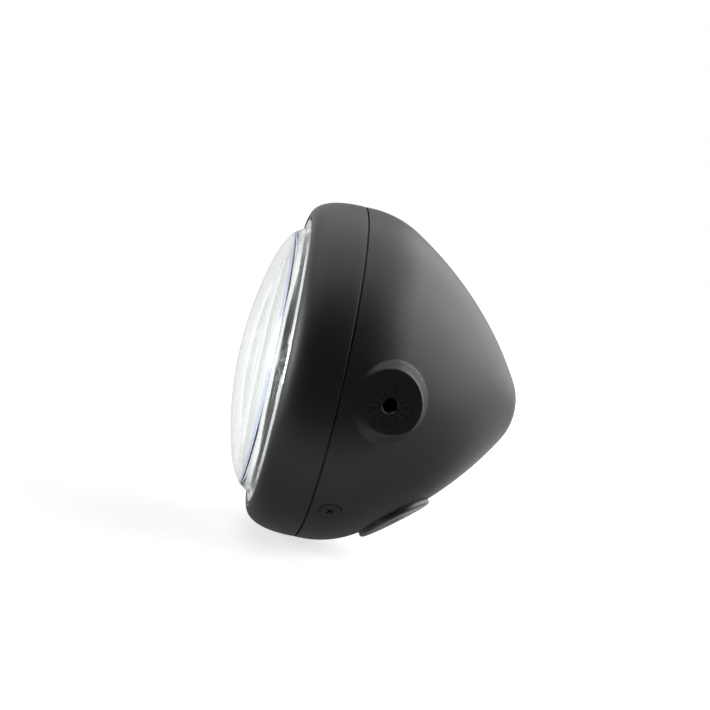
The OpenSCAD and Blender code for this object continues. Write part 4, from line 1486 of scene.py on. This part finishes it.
@dataclass
class Reflector:
    """The bright parabola with its flange, its neck and the tube of the parking light, in mm."""

    focus: float = 23.994
    sheet: float = 1.2
    neck_r: float = 19.5
    neck_end: float = 28.511
    neck_flange_r: float = 23.2
    mouth_r: float = 65.2
    vertex: float = 28.073
    flange_back: float = -16.22
    flange_r: float = 73.4
    park_drop: float = 42.0
    park_r: float = 7.5
    park_wall: float = 1.3
    park_back: float = 21.693
    park_sunk: float = 0.5

    def bowl(self, radius: float) -> float:
        """Distance of the bright side behind the seam at a radius, in mm."""
        return self.vertex - radius * radius / (4 * self.focus)

    def normal(self, spot: Vector, face: Vector) -> Optional[Vector]:
        """Gives the parabola's own normal at a place on its bright side.

        Args:
            spot: The place, in metres.
            face: Normal of the face that it belongs to.

        Returns:
            The normal, or None elsewhere.
        """
        radius, back = math.hypot(spot.x, spot.z) / MM, spot.y / MM - SEAM_Y
        if not self.neck_r - 0.01 < radius < self.mouth_r + 0.01 or abs(back - self.bowl(radius)) > 0.02:
            return None
        lean = radius / (2 * self.focus)
        found = Vector((-spot.x / MM / radius * lean, -1.0, -spot.z / MM / radius * lean)).normalized()
        return found if found.dot(face) > 0.9 else None

    def tube(self) -> bpy.types.Object:
        """Makes the tube whose front end follows the parabola.

        Returns:
            The tube, still closed.
        """
        form = Form()
        count, inner, outer = 64, self.park_r - 0.5, self.park_r + self.park_wall
        corners = ((inner, True), (outer, True), (outer, False), (inner, False))
        rows: list[list[Vector]] = [[], [], [], []]
        for j in range(count):
            a = 2 * math.pi * j / count
            for row, (radius, front) in zip(rows, corners):
                x, z = radius * math.sin(a), -self.park_drop - radius * math.cos(a)
                back = self.bowl(math.hypot(x, z)) + self.park_sunk if front else self.park_back
                row.append(Vector((x, back + SEAM_Y, z)) * MM)
        form.rows(rows, True, True)
        return form.done("tube")

    def build(self, palette: Palette) -> None:
        """Makes the reflector and dresses it."""
        radii = [self.mouth_r + (self.neck_r - self.mouth_r) * i / 64 for i in range(65)]
        bright = [(r, self.bowl(r)) for r in radii]
        rear = []
        for i in range(25):
            r = self.neck_r + self.sheet + (self.mouth_r - self.neck_r) * i / 24
            rear.append((r, self.bowl(r - self.sheet) + self.sheet))
        section = [*bright, (self.neck_r, self.neck_end + 0.8), (self.neck_r + 0.2, self.neck_end + 1),
                   (self.neck_flange_r, self.neck_end + 1), (self.neck_flange_r, self.neck_end),
                   (self.neck_r + self.sheet, self.neck_end), *rear,
                   (self.flange_r, self.flange_back + self.sheet), (self.flange_r, self.flange_back),
                   (self.mouth_r + 0.3, self.flange_back)]
        form = Form()
        form.lathe(section, 224)
        piece = form.done("bright_reflector")
        combine(piece, self.tube(), Join.ADD)
        hole = Form()
        spot = Vector((0, SEAM_Y, -self.park_drop)) * MM
        at = Matrix.Translation(spot) @ Matrix.Rotation(-math.pi / 2, 4, "X") @ Matrix.Scale(MM, 4)
        hole.lathe([(0, -4), (self.park_r, -4), (self.park_r, 26), (0, 26)], 96, False, at)
        combine(piece, hole.done("hole"), Join.CUT)
        true_normals(piece.data, self.normal)
        settle(piece, palette.mirror.build(), ("reflector",))


@dataclass
class Bulb:
    """The glass of the main bulb and the dark coat on its tip, in mm."""

    seat: float = 31.011
    length: float = 57.5
    radius: float = 8.5
    wall: float = 1.1
    cap_len: float = 9.0
    coat_out: float = 0.06
    coat_thick: float = 0.04

    def build(self, palette: Palette) -> None:
        """Makes the glass and its coat, and dresses them and the parking bulb."""
        tip, back = self.seat - self.length, self.seat - 3.4
        dome = (0.0, tip + self.radius)
        section = front_arc(dome, self.radius, 0, 90, 20)
        section[0] = (0.0, tip)
        section += line((self.radius, tip + self.radius + 3), (self.radius, back - 0.6), 8)
        section += [(self.radius - 0.6, back), (0.0, back), (0.0, back - 6)]
        section += [(self.radius - self.wall - 2.5, back - 6), (self.radius - self.wall - 0.7, back - 6.6),
                    (self.radius - self.wall, back - 8)]
        inner = front_arc(dome, self.radius - self.wall, 90, 0, 20)
        inner[-1] = (0.0, tip + self.wall)
        form = Form()
        form.lathe(section + inner, 96, False)
        glass = palette.bulb.build()
        settle(form.done("bulb_tube", 50), glass, ("bulb_glass",))
        dress("position_bulb", glass)
        self.cap(dome, palette.coat.build())

    def cap(self, dome: Point, coat: bpy.types.Material) -> None:
        """Makes the dark coat on the tip of the bulb.

        Args:
            dome: Centre of the bulb's round tip.
            coat: Finish of the coat.
        """
        outer, thin = self.radius + self.coat_out, self.coat_thick
        skin = front_arc(dome, outer, 0, 90, 20)
        skin[0] = (0.0, skin[0][1])
        skin.append((outer, dome[1] + self.cap_len - self.radius + 3.0))
        under = [(max(r - thin, 0.0), s + (thin if i < 20 else 0.0)) for i, (r, s) in enumerate(skin)]
        under[0] = (0.0, skin[0][1] + thin)
        form = Form()
        form.lathe(skin + list(reversed(under)), 96, False)
        settle(form.done("bulb_cap_coat", 50), coat)


@dataclass(frozen=True)
class InnerSolids:
    """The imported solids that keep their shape, and the finish of each."""

    zinc: tuple[str, ...] = ("rim_hook", "rim_tab_right", "rim_tab_left", "tab_nuts", "ring_lugs",
                             "retaining_ring", "ring_screws", "bulb_collar", "bulb_lock_ring", "bulb_base")
    rubber: tuple[str, ...] = ("lens_gasket", "bulb_boot")
    tungsten: tuple[str, ...] = ("bulb_filaments", "bulb_shield")

    def build(self, palette: Palette) -> None:
        """Dresses them."""
        zinc, rubber, tungsten = palette.zinc.build(), palette.rubber.build(), palette.tungsten.build()
        for nodes, finish in ((self.zinc, zinc), (self.rubber, rubber), (self.tungsten, tungsten)):
            for node in nodes:
                dress(node, finish)
        dress("bulb_insulator", palette.ceramic.build())
        dress("bulb_terminals", palette.brass.build())
        dress("position_holder", palette.plastic.build())


# Camera, lights and floor


@dataclass
class PhotoCamera:
    """The photograph's camera, in degrees and mm."""

    yaw: float = 6.422
    elevation: float = 5.5
    roll: float = 12.44
    aside: float = -13.76
    down: float = 7.754
    away: float = 703.844
    focal_px: float = 1428.763
    frame_px: float = 710.0
    sensor: float = 36.0

    def build(self) -> None:
        """Makes the camera and hands it to the scene."""
        e, y, r = (math.radians(v) for v in (self.elevation, self.yaw, self.roll))
        lift = Matrix(((1, 0, 0), (0, math.cos(e), -math.sin(e)), (0, math.sin(e), math.cos(e))))
        turn = Matrix(((math.cos(y), 0, -math.sin(y)), (0, 1, 0), (math.sin(y), 0, math.cos(y))))
        spin = Matrix(((math.cos(r), -math.sin(r), 0), (math.sin(r), math.cos(r), 0), (0, 0, 1)))
        swap = Matrix(((0, 1, 0), (0, 0, -1), (-1, 0, 0)))
        world = spin @ turn @ lift @ swap
        spot = -(world.transposed() @ Vector((self.aside, self.down, self.away)))
        axes = Matrix((world[0], -world[1], -world[2])).transposed().to_4x4()
        data = bpy.data.cameras.new("photo_camera")
        data.sensor_width = self.sensor
        data.lens = self.focal_px * self.sensor / self.frame_px
        data.clip_start, data.clip_end = 0.01, 50.0
        camera = bpy.data.objects.new("photo_camera", data)
        camera.matrix_world = Matrix.Translation((spot + Vector((0, SEAM_Y, 0))) * MM) @ axes
        bpy.context.scene.collection.objects.link(camera)
        bpy.context.scene.camera = camera


@dataclass(frozen=True)
class SoftLight:
    """A soft round light.

    Attributes:
        name: Name of the light.
        spot: Where it is, in metres.
        size: Its width, in metres.
        power: Its power, in watts.
    """

    name: str
    spot: tuple[float, float, float]
    size: float
    power: float

    def build(self, aim: Vector) -> None:
        """Makes the light and points it at a place."""
        data = bpy.data.lights.new(self.name, "AREA")
        data.shape, data.size, data.energy = "DISK", self.size, self.power
        lamp = bpy.data.objects.new(self.name, data)
        lamp.location = self.spot
        lamp.rotation_mode = "QUATERNION"
        lamp.rotation_quaternion = (aim - lamp.location).to_track_quat("-Z", "Y")
        bpy.context.scene.collection.objects.link(lamp)


@dataclass(frozen=True)
class Studio:
    """A white room with three soft lights, which the lamp mirrors darker towards the viewer.

    Attributes:
        ambient: Plain light from all round.
        dark: What is mirrored from where no light is.
        far_x: Mirrored light beyond the lamp, against the direction across the picture's depth.
        far_y: The same against the direction from front to rear.
        top_z: Mirrored light from above, against the height of the direction.
        top_x: The same against the direction towards the viewer.
        floor_z: Height of the floor, in metres.
        floor_half: Half its width, in metres.
        glow: Light that the floor adds for the viewer, against the distance in mm.
        floor_far_x: Light of the floor beyond the lamp in its reflections, in metres.
        floor_far_y: The same from front to rear.
        floor_near_x: Light of the floor on the viewer's side.
        floor_view_x: What it loses further towards the viewer.
        aim: What the lights point at, in metres.
        lights: The lights.
    """

    ambient: float = 0.15
    dark: float = 0.03
    far_x: Ramp = Ramp(-0.42, -0.18, 1.0, 0.0)
    far_y: Ramp = Ramp(-0.15, 0.15, 0.88, 0.45)
    top_z: Ramp = Ramp(0.48, 0.72, 0.0, 1.6)
    top_x: Ramp = Ramp(0.28, 0.52, 1.0, 0.05)
    floor_z: float = -0.0845
    floor_half: float = 60.0
    glow: Ramp = Ramp(150.0, 1400.0, 0.66, 0.96)
    floor_far_x: Ramp = Ramp(-0.09, -0.01, 1.15, 0.0)
    floor_far_y: Ramp = Ramp(-0.06, 0.02, 0.45, 1.0)
    floor_near_x: Ramp = Ramp(0.05, 0.11, 0.3, 0.75)
    floor_view_x: Ramp = Ramp(0.13, 0.19, 0.0, -0.66)
    aim: tuple[float, float, float] = (0.0, 0.02, 0.0)
    lights: tuple[SoftLight, ...] = (SoftLight("rear_light", (0.1, 1.0, 0.5), 1.2, 9.3),
                                     SoftLight("far_light", (-0.8, 0.9, 0.6), 1.2, 7.0),
                                     SoftLight("front_light", (-0.08, -1.1, 0.0), 0.7, 10.5))

    def world(self) -> None:
        """Makes the surroundings: white for the viewer, and soft white fields in the reflections."""
        world = bpy.data.worlds.new("studio")
        world.use_nodes = True
        world.node_tree.nodes.clear()
        graph = Graph(world.node_tree)
        parts = graph.add("ShaderNodeSeparateXYZ")
        graph.feed(parts.inputs[0], graph.add("ShaderNodeTexCoord").outputs["Generated"])
        across, along, up = parts.outputs
        far = graph.math("MULTIPLY", graph.span(across, self.far_x), graph.span(along, self.far_y))
        top = graph.math("MULTIPLY", graph.span(up, self.top_z), graph.span(across, self.top_x))
        mirrored = graph.math("MAXIMUM", graph.math("MAXIMUM", far, top), self.dark)
        plain, glossy = graph.rays()
        strength = graph.math("ADD", graph.math("MULTIPLY", plain, 1.0 - self.ambient), self.ambient)
        strength = graph.math("ADD", strength, graph.math(
            "MULTIPLY", glossy, graph.math("SUBTRACT", mirrored, self.ambient)))
        ground = graph.add("ShaderNodeBackground")
        ground.inputs[0].default_value = (1, 1, 1, 1)
        graph.feed(ground.inputs[1], strength)
        graph.feed(graph.add("ShaderNodeOutputWorld").inputs[0], ground.outputs[0])
        bpy.context.scene.world = world

    def floor(self) -> None:
        """Makes the pale floor, which keeps the soft shadow."""
        form = Form()
        ends = (-self.floor_half, self.floor_half)
        form.rows([[Vector((x, y, self.floor_z)) for x in ends] for y in ends], False, False)
        piece = form.done("pale_floor")
        made = bpy.data.materials.new("pale_floor")
        made.use_nodes = True
        made.node_tree.nodes.clear()
        graph = Graph(made.node_tree)
        shader = graph.add("ShaderNodeBsdfPrincipled")
        shader.inputs["Roughness"].default_value = 0.9
        shader.inputs["Specular IOR Level"].default_value = 0.0
        tone = graph.blend(graph.noise(60.0, 3.0), (0.86, 0.86, 0.86, 1), (0.9, 0.9, 0.9, 1))
        plain, glossy = graph.rays()
        graph.feed(shader.inputs["Base Color"], graph.blend(glossy, tone, (0, 0, 0, 1)))
        parts = graph.add("ShaderNodeSeparateXYZ")
        graph.feed(parts.inputs[0], graph.add("ShaderNodeTexCoord").outputs["Object"])
        across, along, _ = parts.outputs
        mirrored = graph.math("MULTIPLY", graph.span(across, self.floor_far_x),
                              graph.span(along, self.floor_far_y))
        for ramp in (self.floor_near_x, self.floor_view_x):
            mirrored = graph.math("ADD", mirrored, graph.span(across, ramp))
        seen = graph.math("MULTIPLY", plain, graph.span(graph.distance(Vector((1, 1, 0))), self.glow))
        light = graph.add("ShaderNodeEmission")
        shine = graph.math("MULTIPLY", glossy, mirrored)
        graph.feed(light.inputs["Strength"], graph.math("ADD", seen, shine))
        both = graph.add("ShaderNodeAddShader")
        graph.feed(both.inputs[0], shader.outputs[0])
        graph.feed(both.inputs[1], light.outputs[0])
        graph.feed(graph.add("ShaderNodeOutputMaterial").inputs[0], both.outputs[0])
        piece.data.materials.append(made)

    def build(self) -> None:
        """Makes the surroundings, the lights and the floor."""
        self.world()
        for light in self.lights:
            light.build(Vector(self.aim))
        self.floor()
        bpy.context.scene.view_settings.view_transform = "Standard"


def main() -> None:
    """Builds the studio and every part of the lamp in order."""
    logging.basicConfig(level=logging.INFO, format="%(message)s")
    palette = Palette()
    PhotoCamera().build()
    Studio().build()
    housing = Housing()
    housing.build(palette)
    bush = palette.bush.build()
    for side in Side:
        SideBush(side).build(bush)
    CrossScrews().build(palette)
    WiringPlug().build(housing.plug_frame(), palette)
    TrimRim().build(palette)
    DomedGlass().build(palette)
    Reflector().build(palette)
    Bulb().build(palette)
    InnerSolids().build(palette)


if __name__ == "__main__":
    main()
